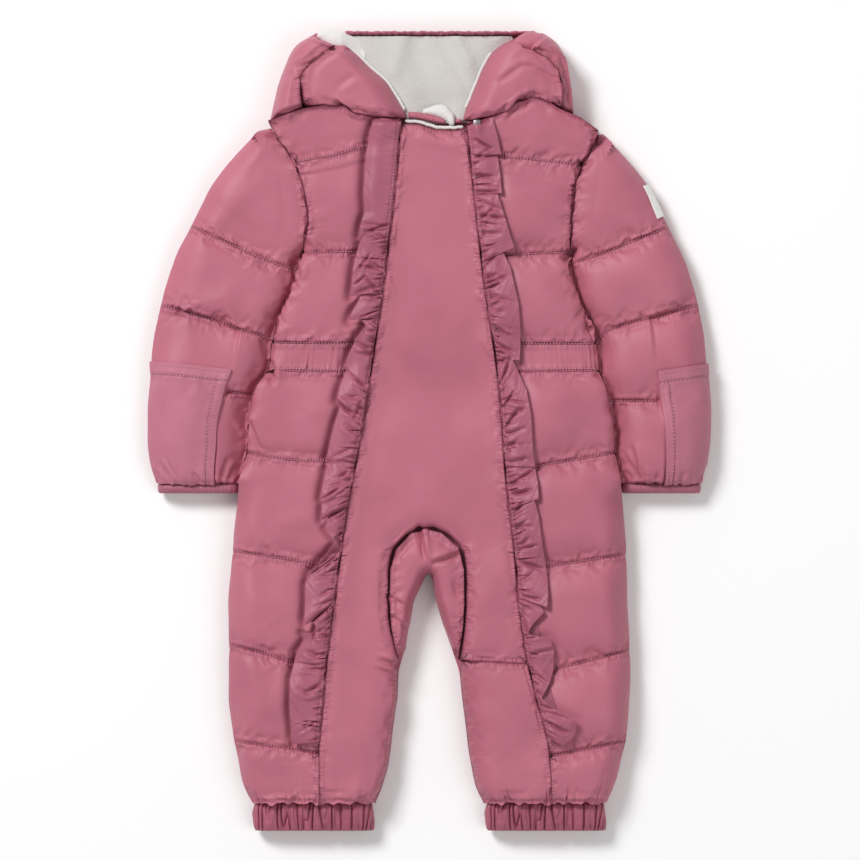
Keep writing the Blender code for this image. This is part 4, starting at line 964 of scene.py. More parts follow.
# %% Hood sides and margins
HOOD_SHALLOW = {"right": (304, 318), "left": (282, 296)}  # y from where its seam is a line, and not a fold
HOOD_FOOT = {"drop": 9.0, "width": 3.0, "fill": 9.0}
FOOT_CLEAR = 0.5  # mm from the hood's lower edge to the shoulder
MARGIN_WIDE, HOOD_WIDE = 20, 66


def hood_line(edges, side, slip=0.0):
    """As follow, for a line of the hood, whose corners are tighter; slip is away from the middle."""
    return follow(edges[side], outward(side, slip), rounding=4)


for side in SIDES:
    edges = (follow(HOOD_EDGE[side]), hood_line(HOOD_SEAM, side, GAP))
    grid, _, _ = cloth_rows(MARGIN_LINES[side], edges, even_shares(0, 1, width=MARGIN_WIDE))
    height = padded_height(grid, 1.0, PADDING["hood_margin"], free=(1, 0), side_roll=MARGIN_ROLL, ends=(3, 5))
    height = with_shallow_seam(grid, height, ("column", -1), span=HOOD_SHALLOW[side])
    height = with_shallow_seam(grid, height, ("row", -1), **HOOD_FOOT)
    add_panel("hood_margin_" + side, [part(grid, height, [("column", -1, HOOD_SEWING, 0)])], 0.6)
    edges = (hood_line(HOOD_SEAM, side, -GAP), hood_line(FACE_EDGE, side))
    first, last = HOOD_FOOT_ENDS[side]
    foot = lowered([first] + SHOULDER[side][3:-1] + [last], -FOOT_CLEAR)
    grid, _, _ = cloth_rows([HOOD_TOPS[side], foot], edges, even_shares(0, 1, width=HOOD_WIDE))
    height = padded_height(grid, 1.0, PADDING["hood_side"], free=(0.25, 1), floor=LINING_TOP + GAP,
                           side_roll=HOOD_ROLL, ends=(2, 8))
    height = with_shallow_seam(grid, height, ("column", 0), span=HOOD_SHALLOW[side])
    height = with_shallow_seam(grid, height, ("row", -1), **HOOD_FOOT)
    seams = [("column", 0, HOOD_SEWING, 0), ("row", -1, PLAIN_SEAM, 0)]
    add_panel("hood_side_" + side, [part(grid, height, seams)], 0.7, LINING_TOP + GAP)
print("hood side:", panels["hood_side_left"]["parts"][0]["grid"].shape[:2])


# %% Simulate all the panels
def sim_object(name, panel):
    """The panel's grids as one open sheet of cloth, pinned where it is sewn, with its Cloth modifier."""
    mesh = bmesh.new()
    for grid in panel["parts"]:
        crumple = 0.35 * uneven(grid["grid"][:, :, 0] / 17, 1) * uneven(grid["grid"][:, :, 1] / 19, 2)
        height = np.where(grid["pinned"], grid["form"], grid["start"] + crumple)
        grid["rest"] = np.dstack([grid["grid"], height])
        lay_grid(mesh, grid["rest"])
    bmesh.ops.remove_doubles(mesh, verts=mesh.verts, dist=0.01 * MM)
    data = bpy.data.meshes.new("cloth_" + name)
    mesh.to_mesh(data)
    mesh.free()
    made = bpy.data.objects.new("cloth_" + name, data)
    scene.collection.objects.link(made)
    places = kdtree.KDTree(len(data.vertices))
    for vert in data.vertices:
        places.insert(vert.co, vert.index)
    places.balance()
    sewn = set()
    for grid in panel["parts"]:
        flat = [places.find(point * MM)[1] for point in grid["rest"].reshape(-1, 3)]
        grid["index"] = np.array(flat).reshape(grid["pinned"].shape)
        sewn |= set(grid["index"][grid["pinned"]].tolist())
    made.vertex_groups.new(name="sewn").add(sorted(sewn), 1.0, "REPLACE")
    cloth = made.modifiers.new("cloth", "CLOTH").settings
    cloth.quality = 5
    cloth.mass = 0.3
    cloth.tension_stiffness = cloth.compression_stiffness = 15
    cloth.shear_stiffness = 5
    cloth.bending_stiffness = 0.05
    cloth.tension_damping = cloth.compression_damping = cloth.shear_damping = 5
    cloth.bending_damping = 0.5
    cloth.vertex_group_mass = "sewn"
    cloth.shrink_min = -CLOTH["longer"]
    cloth.use_pressure = True
    cloth.uniform_pressure_force = CLOTH["pressure"]
    cloth.effector_weights.gravity = 0
    return made


def simulate(frames):
    """Runs the cloth and keeps each grid's result, no further from its padded form than the slack allows."""
    cloths = {name: sim_object(name, panel) for name, panel in panels.items()}
    for number in range(1, frames + 1):
        scene.frame_set(number)
    graph = bpy.context.evaluated_depsgraph_get()
    for name, cloth in cloths.items():
        data = cloth.evaluated_get(graph).to_mesh()
        found = np.empty(len(data.vertices) * 3)
        data.vertices.foreach_get("co", found)
        found = found.reshape(-1, 3) / MM
        for grid in panels[name]["parts"]:
            blown, rest = found[grid["index"]], grid["rest"]
            moved = blown[:, :, :2] - rest[:, :, :2]
            length = np.maximum(norm(moved, axis=2), 1e-6)[:, :, None]
            aside = rest[:, :, :2] + moved * np.minimum(1, SLACK_ACROSS / length)
            up = np.clip(blown[:, :, 2], grid["form"] - 3 * SLACK_UP, grid["form"] + SLACK_UP)
            up = np.where(grid["pinned"], grid["form"], up)
            grid["cloth"] = np.dstack([aside, up])
        mesh = cloth.data
        bpy.data.objects.remove(cloth)
        bpy.data.meshes.remove(mesh)
    scene.frame_set(1)


simulate(CLOTH["frames"])
print("panels blown up:", len(panels), "threads' crossings:",
      sum(grid["pinned"].size for panel in panels.values() for grid in panel["parts"]))

# %% [markdown]
# ## Puckers, creases and the closed panels
#
# The threads of the simulated grid are nearly three millimetres apart, too far for the small buckles
# right beside the stitching. They are added on a grid that is twice as fine: narrow valleys that start
# at the needle holes and run out into the puff. The few large creases are a short table of lines.


# %% Puckers and creases
def normals_of(points):
    normal = np.cross(np.gradient(points, axis=0), np.gradient(points, axis=1))
    normal /= np.maximum(norm(normal, axis=2), 1e-9)[:, :, None]
    return normal * np.sign(normal[:, :, 2].mean())


def buckles(along, seed, pitch):
    """Narrow valleys (near 1) at uneven places along a seam, over a low wave."""
    wave = uneven(along / pitch, seed)
    return bell(wave, 0.32) - 0.35 * uneven(along / (2.3 * pitch), seed + 4)


def pucker(points, seam, seed):
    """How far the cloth beside a sewn row or column sinks, and how far each point is from and along it."""
    kind, index, style, first = seam
    turned = points if kind == "row" else points.swapaxes(0, 1)
    line = turned[index]
    along = run_along(line[:, :2])
    distance = norm(turned[:, :, :2] - line[None, :, :2], axis=2)
    length = style["reach"] * np.clip(1 + 0.8 * uneven(along / 26, seed + 2), 0.35, 2.2)
    fade = (1 - np.exp(-distance / 0.8)) * np.exp(-distance / length)
    deep = style["depth"] * np.clip(0.8 + 0.6 * uneven(along / 33, seed + 5), 0.15, 1.6)
    small = (1 - np.exp(-distance / 0.7)) * np.exp(-distance / (0.35 * length))
    sunk = np.empty(distance.shape)
    for half, number in ((slice(0, index), seed), (slice(index, None), seed + 3)):
        sunk[half] = (deep * buckles(along, number, style["pitch"]))[None] * fade[half]
        sunk[half] += 0.55 * (deep * buckles(along, number + 7, 0.45 * style["pitch"]))[None] * small[half]
    off = np.arange(len(line)) < first if first >= 0 else np.arange(len(line)) >= -first
    sunk[:, off] = 0
    distance = np.where(off[None], FAR, distance + style.get("hidden", 0))
    found = (sunk, distance, np.broadcast_to(along, distance.shape))
    return found if kind == "row" else tuple(values.T for values in found)


CREASES = [  # x, y at one end and at the other, depth, half width; a ridge stands on its left
    (-9.5, -88.7, -5, -113, 5, 2.2), (4, -119.2, 28.4, -110.2, 4.5, 2.3),
    (-38.2, -149, -20.2, -158.8, 2.4, 2.2), (-34.6, -167.8, -20.2, -176.8, 2, 2),
    (-43.6, -206.6, -24.8, -213.8, 3, 2.6), (-47.2, -213.8, -30.2, -221, 2, 2),
    (-162, 6.8, -151.2, -22.1, 2.6, 2.4), (-17.6, -98.5, -28.4, -113, 1.6, 2.2),
    (20.2, -134.6, 30.2, -152.6, 1.4, 2.2), (-221.8, 115.7, -228.2, 101.2, 1.2, 2),
    (63.5, 312.8, 82.4, 326.2, 2, 2.4), (82.4, 326.2, 92.2, 326.2, 1.7, 2.4),
    (92.2, 325.4, 109.4, 315.4, 1.6, 2.2), (109.4, 315.4, 118.4, 306.4, 1.4, 2.2),
    (85, 343.4, 103, 339.8, 1.8, 2), (103, 339.8, 113, 331.7, 1.6, 2), (72.5, 283.9, 80.5, 295.7, 2.4, 2),
    (80.5, 295.7, 91.4, 301.1, 2.4, 2), (91.4, 301.1, 103, 299.2, 2.2, 2), (85, 290.2, 91.4, 297.4, 2, 1.6),
    (93.2, 297.4, 112, 292.1, 1.8, 1.6), (-69.8, 317.2, -82.4, 308.2, 1.5, 3),
    (-79.7, 292.1, -69.8, 284.9, 2.4, 2), (-84.2, 293.9, -76, 288.4, 1.8, 1.6),
    (-96.8, 351.4, -119.2, 335.2, 1.4, 1.8), (-122, 151.7, -118.4, 137.2, 5, 3),
    (-142.7, 59.9, -141.8, 43.6, 5, 3), (131.8, 163.3, 122.9, 154.3, 5, 3),
    (142.7, 99.5, 146.2, 87.8, 4.5, 3), (181, -16, 188, -46, 3, 2.4), (176, -24, 186, -43, 2.2, 2),
    (191, -34, 193, -48, 2, 1.8), (205, -38, 203, -48, 2, 1.8), (-181, -26, -187, -47, 2.4, 2.2),
    (-177, -34, -182, -48, 1.8, 1.8),
]


def crease(points, row):
    """How far one listed crease sinks each point."""
    x0, y0, x1, y1, deep, wide = row
    start, run = np.array((x0, y0)), np.array((x1 - x0, y1 - y0))
    length = norm(run)
    offset = points[:, :, :2] - start
    share = (offset @ run) / length**2
    across = (offset[:, :, 0] * run[1] - offset[:, :, 1] * run[0]) / length
    inside = np.clip(share, 0, 1)
    beyond = np.abs(share - inside) * length
    fade = 0.25 + 0.75 * np.sin(math.pi * np.clip(0.12 + 0.8 * inside, 0, 1))
    fade *= bell(beyond, wide)
    trough = bell(across, wide) - 0.5 * bell(across + 2.1 * wide, 1.3 * wide)
    return deep * trough * fade


CALM = 0.92  # how much of the crumple in the open puff is smoothed away
CALM_PASSES, CALM_REACH = 16, 12  # how often, and mm from a seam to where the puff is open


def calmed(grid):
    """The simulated cloth with its crumples kept beside the seams and smoothed away in the open puff."""
    form = np.dstack([grid["grid"], grid["form"]])
    away = grid["cloth"] - form
    calm = away.copy()
    for _ in range(CALM_PASSES):
        ease(calm)
        ease(calm.swapaxes(0, 1))
        calm[grid["pinned"]] = away[grid["pinned"]]
    past = np.full(grid["pinned"].shape, FAR)
    for kind, index, style, _ in grid["seams"]:
        line = grid["grid"][index][None] if kind == "row" else grid["grid"][:, index][:, None]
        past = np.minimum(past, norm(grid["grid"] - line, axis=2) - style["keep"])
    open_cloth = np.clip(past / CALM_REACH, 0, 1) * CALM
    return form + away + (calm - away) * open_cloth[:, :, None]


EDGE_LEAN = 0.3  # mm
LEAN_AT, LEAN_SPREAD, LEAN_REACH = 8, 5, 8  # mm: up from the edge, over this much, and in from it


def lean_out(points, column):
    """A rolled edge that faces another piece bulges over the gap between them."""
    inner = 1 if column == 0 else -2
    aside = points[:, column, :2] - points[:, inner, :2]
    aside /= norm(aside, axis=1)[:, None]
    rise = points[:, :, 2] - points[:, column, 2][:, None]
    near = norm(points[:, :, :2] - points[:, column, :2][:, None], axis=2) < LEAN_REACH
    shift = EDGE_LEAN * bell(rise - LEAN_AT, LEAN_SPREAD) * near
    points[:, :, :2] += aside[:, None] * shift[:, :, None]


# %% Folds of the ruffles
# Each fold runs from a height y on the front seam to an x and y at the ruffle's free edge. The last
# number is how high it stands over the panel there.
RUFFLE_FOLDS = {
    "right": [
        (283.1, -48.1, 284.9, 2), (265.1, -53.6, 266.9, 2.5), (245.2, -57.1, 245.2, 3),
        (216.5, -59, 212.8, 3.2), (196.7, -58.1, 195.8, 3), (187.7, -61.6, 184.1, 4.5),
        (182.2, -63.5, 174.2, 7), (180.5, -55.4, 182.2, 1), (176.8, -57.1, 178.7, 4),
        (166.1, -63.5, 166.1, 3.5), (148.1, -68, 146.2, 3), (130.1, -69.8, 128.2, 5),
        (124.7, -70.7, 120.2, 7), (122.9, -60.8, 124.7, 1), (120.2, -62.6, 117.5, 3.5),
        (108.5, -68.9, 106.7, 4), (103, -72.5, 98.5, 6.5), (99.5, -62.6, 101.2, 1), (90.5, -57.1, 94, 4.5),
        (81.5, -65.2, 83.2, 4.5), (67, -71.5, 70.7, 5), (38.2, -76.5, 57.1, 7), (35.6, -69.8, 61.6, 1),
        (33.8, -75.2, 52.6, 3), (25.7, -79.7, 40.1, 3.5), (16.7, -83.2, 26.6, 5), (11.2, -79.7, 22.1, 2.5),
        (-1.4, -85, 5.9, 3), (-14, -89.5, -12.2, 3), (-22.9, -92.2, -24.8, 4.5), (-27.4, -91.4, -29.2, 2),
        (-42.8, -95, -46.4, 3.5), (-50, -97.7, -61.6, 6), (-56.2, -95.9, -65.2, 3), (-68, -96.8, -80.5, 6),
        (-71.5, -89.5, -73.4, 1), (-77, -93.2, -86.9, 3.5), (-87.8, -86, -96.8, 5),
        (-91.4, -82.4, -91.4, 1), (-104, -86, -103, 3.5), (-106.7, -96.8, -116.5, 4.5),
        (-108.5, -108.9, -129.2, 6), (-110.2, -104, -125.5, 1), (-113, -108.5, -131, 3.5),
        (-127.4, -111.2, -138.2, 3), (-143.6, -111.2, -154.3, 3), (-152.6, -112, -175.1, 6),
        (-156.2, -105.8, -170.6, 1), (-163.3, -102.2, -174.2, 4), (-174.2, -104, -188.6, 1.5),
        (-179.6, -113.9, -181.3, 4), (-185.8, -112, -186.8, 3), (-195.8, -119.2, -199.3, 3),
        (-217.3, -124.7, -222.8, 3), (-242.6, -125.5, -247.1, 3.2), (-265.9, -123.8, -267.8, 3.5),
        (-278.6, -122.9, -281.2, 2.5),
    ],
    "left": [
        (278.6, 56.2, 280.4, 2), (263.2, 60.8, 264.2, 3.5), (247.1, 64.4, 247.1, 6),
        (239.8, 58.1, 249.8, 1), (232.7, 61.6, 243.5, 4), (221.8, 63.5, 227.2, 3), (212.8, 64.8, 212, 6),
        (211.1, 58.1, 216.5, 1), (209.2, 61.6, 210.2, 4), (187.7, 68, 189.5, 2.8),
        (166.1, 73.4, 171.5, 4.5), (151.7, 76, 163.3, 7), (147.2, 68.9, 167, 1), (142.7, 65.2, 161.6, 5),
        (135.5, 72.5, 146.2, 4), (117.5, 79.7, 113.9, 3), (90.5, 81.5, 88.7, 3), (70.7, 81.5, 72.5, 5),
        (63.5, 80.5, 62.6, 7), (59.9, 70.7, 70.7, 1), (40.1, 69.8, 72.5, 5.5), (36.5, 77.9, 56.2, 4.5),
        (31.1, 86.9, 36.5, 3.5), (14.8, 90.9, 14, 3), (-8.6, 92.2, -10.3, 3.5), (-26.6, 93.2, -24.8, 5),
        (-31.9, 95, -32.9, 7), (-34.6, 88.7, -24.8, 1), (-37.4, 89.5, -26.6, 4.5), (-42.8, 95, -34.6, 3.5),
        (-53.6, 97.2, -48.1, 4), (-69.8, 97.7, -61.6, 6.5), (-72.5, 91.4, -59, 1), (-75.2, 94, -62.6, 4.5),
        (-84.2, 97.7, -76, 3), (-105.8, 101.2, -103, 3), (-127.4, 105.3, -127.4, 3),
        (-141.8, 106.2, -145.3, 5), (-149, 105.3, -158.8, 7), (-150.8, 95.9, -152.6, 1),
        (-153.5, 102.6, -162.5, 5.5), (-163.3, 90.5, -176, 2), (-176, 87.8, -185, 1),
        (-185, 106.7, -185, 5), (-194, 111.6, -195.8, 3.5), (-210.2, 111.2, -213.8, 3.5),
        (-221, 107.5, -226.3, 4.5), (-233.6, 100.4, -239.8, 1.5), (-244.3, 109.4, -248, 3),
        (-249.8, 122.9, -254.2, 5), (-255.2, 131.8, -259.7, 7), (-262.4, 131, -268.7, 3.5),
        (-274.9, 123.8, -284.9, 2),
    ],
}
RUFFLE_PRESS = {"right": 6.0, "left": 1.4}  # mm that a ruffle's free edge presses the panel in
PRESS_WIDE = 5  # mm to each side of it
print("folds:", {side: len(rows) for side, rows in RUFFLE_FOLDS.items()})


def pressed_by_ruffle(points, side):
    """How far the panel sinks along the free edge of the ruffle that lies on it."""
    line = np.array(RUFFLE_FOLDS[side])[:, 1:3]
    step = np.diff(line, axis=0)
    offset = points[:, :, None, :2] - line[:-1]
    share = np.clip((offset * step).sum(axis=3) / (step**2).sum(axis=1), 0, 1)
    away = norm(offset - share[..., None] * step, axis=3).min(axis=2)
    return RUFFLE_PRESS[side] * bell(away, PRESS_WIDE)


# %% Finishing every panel
LUMPS, LUMP_FADE = 1.4, 9  # mm that broad soft lumps in the padding stand out, and from a seam to them
HEM_WAVE, HEM_PITCH, HEM_FADE = 1.7, 15, 6  # of the edge over an ankle's elastic, in mm


def finish_cloth(grid, seed):
    """The grid twice as fine, with its puckers and creases, and where each point is from its nearest seam."""
    fine = twice_as_fine(calmed(grid))
    grid["plain"] = fine
    sunk, run, distance = np.zeros(fine.shape[:2]), np.zeros(fine.shape[:2]), np.full(fine.shape[:2], FAR)
    for number, (kind, index, style, first) in enumerate(grid["seams"]):
        deeper, away, along = pucker(fine, (kind, 2 * index, style, 2 * first), seed + 11 * number)
        sunk += deeper
        run = np.where(away < distance, along + 300 * number, run)
        distance = np.minimum(distance, away)
    x, y = fine[:, :, 0], fine[:, :, 1]
    lump = uneven((x + 0.6 * y) / 90, seed // 3) * uneven((y - 0.4 * x) / 105, seed // 3 + 1)
    sunk += LUMPS * lump * (1 - np.exp(-distance / LUMP_FADE))
    for row in CREASES:
        sunk += crease(fine, row)
    for column in grid.get("leans", ()):
        lean_out(fine, column)
    if any(seam[2] is ANKLE_ELASTIC for seam in grid["seams"]):
        wave = HEM_WAVE * uneven(fine[-1, :, 0] / HEM_PITCH, 3)
        fine[:, :, 1] += wave * np.exp(-end_reach(fine, -1) / HEM_FADE)
    grid["fine"] = fine - normals_of(fine) * sunk[:, :, None]
    grid["seam"], grid["along"] = distance, run


for seed, (name, panel) in enumerate(panels.items()):
    for number, grid in enumerate(panel["parts"]):
        finish_cloth(grid, 3 * seed + number)
        if name.startswith(("front_upper", "front_waist", "front_lower")):
            side = name.rsplit("_", 1)[1]
            grid["fine"][:, :, 2] -= pressed_by_ruffle(grid["fine"], side)
for key in ("fine", "seam", "along"):
    right_leg[key][0] = upper_part[key][-1, : 2 * split_right + 1]
    left_leg[key][0] = upper_part[key][-1, 2 * split_left :][::-1]
print("fine points:", sum(grid["seam"].size for panel in panels.values() for grid in panel["parts"]))


# %% Closed padded pieces
def lay_cloth(mesh, points, seam, along=0):
    """A grid with each point's distance from its nearest stitching, and along it."""
    layers = [mesh.verts.layers.float.get(key) or mesh.verts.layers.float.new(key) for key in ("seam", "along")]
    seam, along = (np.broadcast_to(values, points.shape[:2]) for values in (seam, along))
    placed = lay_grid(mesh, points)
    for place, vert in placed.items():
        vert[layers[0]], vert[layers[1]] = seam[place], along[place]
    return placed


for name, panel in panels.items():
    mesh = bmesh.new()
    for grid in panel["parts"]:
        lay_cloth(mesh, grid["fine"], grid["seam"], grid["along"])
    bmesh.ops.remove_doubles(mesh, verts=mesh.verts, dist=0.004 * MM)
    close_onto(mesh, panel["floor"])
    finished(mesh, "padded_" + name, shell_nylon, [name])
highest = max(vert.co.z for piece in pieces.values() for vert in piece.data.vertices)
print("padded pieces:", len(pieces), "highest mm:", round(highest / MM, 1))

# %% [markdown]
# ## The back
#
# The back carries the suit, so it is flat where it rests and rolls up at its edges to meet the front.
# It isn't seen here, and is quilted in the same channels as the front, with shallow lines.


# %% Back panels
def back_height(grid, free, ends):
    """Underside of a padded back panel: flat on the floor, and rolled up at its free edges."""
    return (BACK_DEPTH - EDGE_WALL) * (1 - rolled_off(grid, free, BACK_ROLL, ends))


BACK_GROOVE, BACK_GROOVE_WIDE = 1.5, 2.6  # depth and half width of its quilting, in mm


def back_piece(name, grid, seam_rows, free=(1, 1), ends=(0, 0), *, seed):
    """A back panel with a shallow quilted line on each of these rows."""
    height = back_height(grid, free, ends)
    points = np.dstack([grid, height])
    distance = np.full(height.shape, FAR)
    for number, row in enumerate(seam_rows):
        sunk, off, _ = pucker(points, ("row", row, QUILTING, 0), seed + 11 * number)
        points[:, :, 2] += BACK_GROOVE * bell(off, BACK_GROOVE_WIDE) + np.maximum(sunk, 0)
        distance = np.minimum(distance, off)
    points[:, :, 2] = np.clip(points[:, :, 2], 0, BACK_DEPTH - EDGE_WALL)
    mesh = bmesh.new()
    lay_cloth(mesh, points, distance)
    close_onto(mesh, BACK_CEILING)
    finished(mesh, "padded_" + name, shell_nylon, [name])


BODY_WIDE, LEG_WIDE, BACK_ROUNDING = 250, 120, 5
neck_line = SHOULDER["right"] + [NAPE_POINT] + SHOULDER["left"][::-1]
waist_top, waist_bottom = BACK_WAIST
back_edges = (follow(SIDE_EDGE["right"], MEET), follow(SIDE_EDGE["left"], -MEET))
wide = edge_shares(BODY_WIDE, free_last=True)
back_lines = [lowered(neck_line, GAP / 2), *BACK_QUILT, lowered(waist_top, -GAP / 2)]
grid, _, line_rows = cloth_rows(back_lines, back_edges, wide, QUILT_NOTCH)
back_piece("back_upper", grid, line_rows[1:], seed=5)
waist_lines = [lowered(waist_top, GAP / 2), lowered(waist_bottom, -GAP / 2)]
grid, _, line_rows = cloth_rows(waist_lines, back_edges, wide)
back_piece("back_waist", grid, line_rows, seed=6)
for side, outer in zip(SIDES, back_edges):
    lines = [[(outward(side, row[0]), row[1]), (outward(side, row[2]), row[3])] for row in BACK_LEG_LINES]
    edges = (outer, follow(BACK_INNER[side], rounding=BACK_ROUNDING))
    grid, _, line_rows = cloth_rows(lines, edges, edge_shares(LEG_WIDE, free_last=True), QUILT_NOTCH)
    free = np.clip((BACK_CROTCH - grid[:, -1, 1]) / SEAM_ROLL, 0, 1)
    back_piece("back_leg_" + side, grid, line_rows[:-1], (1, free), seed=7)
    lines = [*SLEEVE_QUILT[side][:3], SLEEVE_QUILT[side][-1]]
    edges = (follow(SLEEVE_EDGE[side]), follow(SIDE_EDGE[side], outward(side, MEET)))
    grid, _, line_rows = cloth_rows(lines, edges, edge_shares(SLEEVE_WIDE, free_last=True))
    back_piece("sleeve_back_" + side, grid, line_rows[1:-1], ends=(BACK_ROLL, 0), seed=8)
crown_foot = lowered([CROWN_FOOT_ENDS[0]] + neck_line[1:-1] + [CROWN_FOOT_ENDS[1]], -GAP)
grid, _, _ = cloth_rows([CROWN_TOP, crown_foot], (follow(HOOD_EDGE["right"]), follow(HOOD_EDGE["left"])), wide)
back_piece("hood_crown", grid, [], ends=(BACK_ROLL, 0), seed=9)
print("back pieces:", [name for name in pieces if "back" in name or "crown" in name])

# %% [markdown]
# ## Mitts, bindings and badge
#
# Each sleeve ends in a mitt that folds over the hand. It is plain nylon, not quilted: a sheet with a
# wide hem across its opening, a narrower band down its inner side and a row of stitches along each. It
# lies on the sleeve, so it starts from the sleeve's own cloth, rubbed smooth and moved out.


# %% Sheets that lie on a panel
def rubbed(points, passes):
    """The grid with its small bumps rubbed down."""
    points = points.copy()
    for _ in range(passes):
        ease(points)
        ease(points.swapaxes(0, 1))
    return points


def walled(mesh, points, low, high, seam):
    """A closed sheet between two offsets of a grid, in mm."""
    normal = normals_of(points)
    for offset in (low, high):
        lay_cloth(mesh, points + normal * np.broadcast_to(offset, points.shape[:2])[:, :, None], seam)
    rims = [edge for edge in mesh.edges if edge.is_boundary]
    bmesh.ops.bridge_loops(mesh, edges=rims)


def run_lengths(points):
    """How far each point is along a grid's columns, in mm."""
    steps = norm(np.diff(points, axis=0), axis=2)
    return np.concatenate([np.zeros((1, points.shape[1])), np.cumsum(steps, axis=0)])


def surface_area(piece):
    return sum(face.area for face in piece.data.polygons)


stitched = []  # rows of stitches: their points in mm and how long a stitch is
AWAY = 9.0  # mm, the distance from a seam that plain pieces carry, too far for any painted seam shade
print("sheets are made in two layers and joined round their rim")

# %% Mitts
MITT_HEM, MITT_BAND = 10.8, 8.0  # widths in mm
MITT_LIFT, MITT_WALL = (0.5, 1.9), 0.3  # of its two faces over the sleeve, and its least thickness
MITT_RUB = 8
MITT_STITCH = 2.3
MITT_CREASES = {  # as the panels' creases
    "right": [(-241, -30, -232, -45, 2.4, 1.9), (-245, -37, -240, -45, 1.8, 1.5),
              (-212, -39, -205, -47, 2.0, 1.7), (-236, -24, -229, -40, 1.2, 1.6)],
    "left": [(248, -35, 240, -47, 2.1, 1.8), (253, -32, 248, -43, 1.4, 1.5), (228, -38, 224, -47, 1.8, 1.6)],
}
for side in SIDES:
    sleeve = panels["sleeve_front_" + side]["parts"][0]
    row, column = (2 * mark for mark in sleeve["mitt"])
    under = rubbed(sleeve["plain"], MITT_RUB)[row:, : column + 1]
    down = run_lengths(under)
    inward = run_lengths(under[:, ::-1].swapaxes(0, 1)).swapaxes(0, 1)[:, ::-1]
    hem_line, band_line = np.abs(down - MITT_HEM), np.abs(inward - MITT_BAND)
    layered = 0.55 * (down < MITT_HEM) + 0.45 * (inward < MITT_BAND) * (down > MITT_HEM)
    sewn = np.minimum(hem_line, np.where(down > MITT_HEM, band_line, FAR))
    waves = uneven(inward / 13, 3) * 0.5 * np.exp(-np.abs(down - MITT_HEM) / 5)
    waves += uneven(down / 14, 4) * 0.35 * np.exp(-np.abs(inward - MITT_BAND) / 5)
    left = down[-1:] - down
    waves += uneven(inward / 9, 5) * 0.9 * np.exp(-left / 9) + 0.25 * uneven(inward / 40 + down / 60, 2)
    high = MITT_LIFT[1] + layered - 0.55 * bell(sewn, 0.9) + waves
    for crumple in MITT_CREASES[side]:
        high -= crease(under, crumple)
    high = np.maximum(high, MITT_LIFT[0] + MITT_WALL)
    mesh = bmesh.new()
    # The distance from the hem and band stitching paints the mitt darker along them: the nylon's painted seam
    # shade.
    walled(mesh, under, MITT_LIFT[0], high, np.minimum(sewn + 0.2, FAR))
    name = "folded_mitt_" + side
    mitt = finished(mesh, name, binding_nylon, ["mitt_" + side])
    wide, tall = inward[:, 0].mean(), down[-1].mean()
    top = under + normals_of(under) * high[:, :, None]
    hem_row = int(np.argmin(np.abs(down.mean(axis=1) - MITT_HEM)))
    band_column = int(np.argmin(np.abs(inward[hem_row:].mean(axis=0) - MITT_BAND)))
    stitched += [(line, MITT_STITCH) for line in (top[hem_row], top[hem_row:, band_column], top[2], top[:, -3])]
    print(name, "flat mm:", round(wide, 1), round(tall, 1))

# %% [markdown]
# ## Gathered tubes
#
# The wrist bindings and the ankle cuffs are short tubes that lie flattened on the floor. A binding is a
# folded strip with small puckers. A cuff has elastic inside, so it stands in uneven upright gathers and
# the leg is drawn in to meet it. Each is a closed band through loops of points, with a slot through it.

# %% Tubes
WRIST_INSET = (1.5, 3.0)  # of the binding from the sleeve's outer and inner edge
WRIST_TOP = -48.6
ANKLE_CUFFS = {"right": (-159.5, -48.5), "left": (49.5, 160)}
TUBE_BELLY = 0.45  # share of a flattened tube's height where it is widest
TUBE_SLOT = 1.0  # open slot through its middle
TUBE_WALL = 5.0  # at its two sides
TUBE_SHADE = 0.95  # mm from a seam that every point of a tube carries, so all of it is painted a little darker by the painted seam shade
BINDING_RINGS = [  # as the wrists' rings, tucked further under the sleeve
    (-46.8, 19, 0.0), (-49, 21.5, -0.3), (-52, 22.5, -0.4), (-55.5, 21, 0.0), (-56.6, 19, 0.8),
]
BINDING_WIDER = 3.0  # mm of each end
CUFF_GATHERS, CUFF_DEPTH = 13.0, 5.2  # ridges across its front, and their depth in mm
CUFF_RINGS = [(-333.2, 23, 3.0), (-336.8, 27, 0.6), (-341, 27.8, 0.0), (-353, 27, 0.0), (-360, 23, 1.0)]


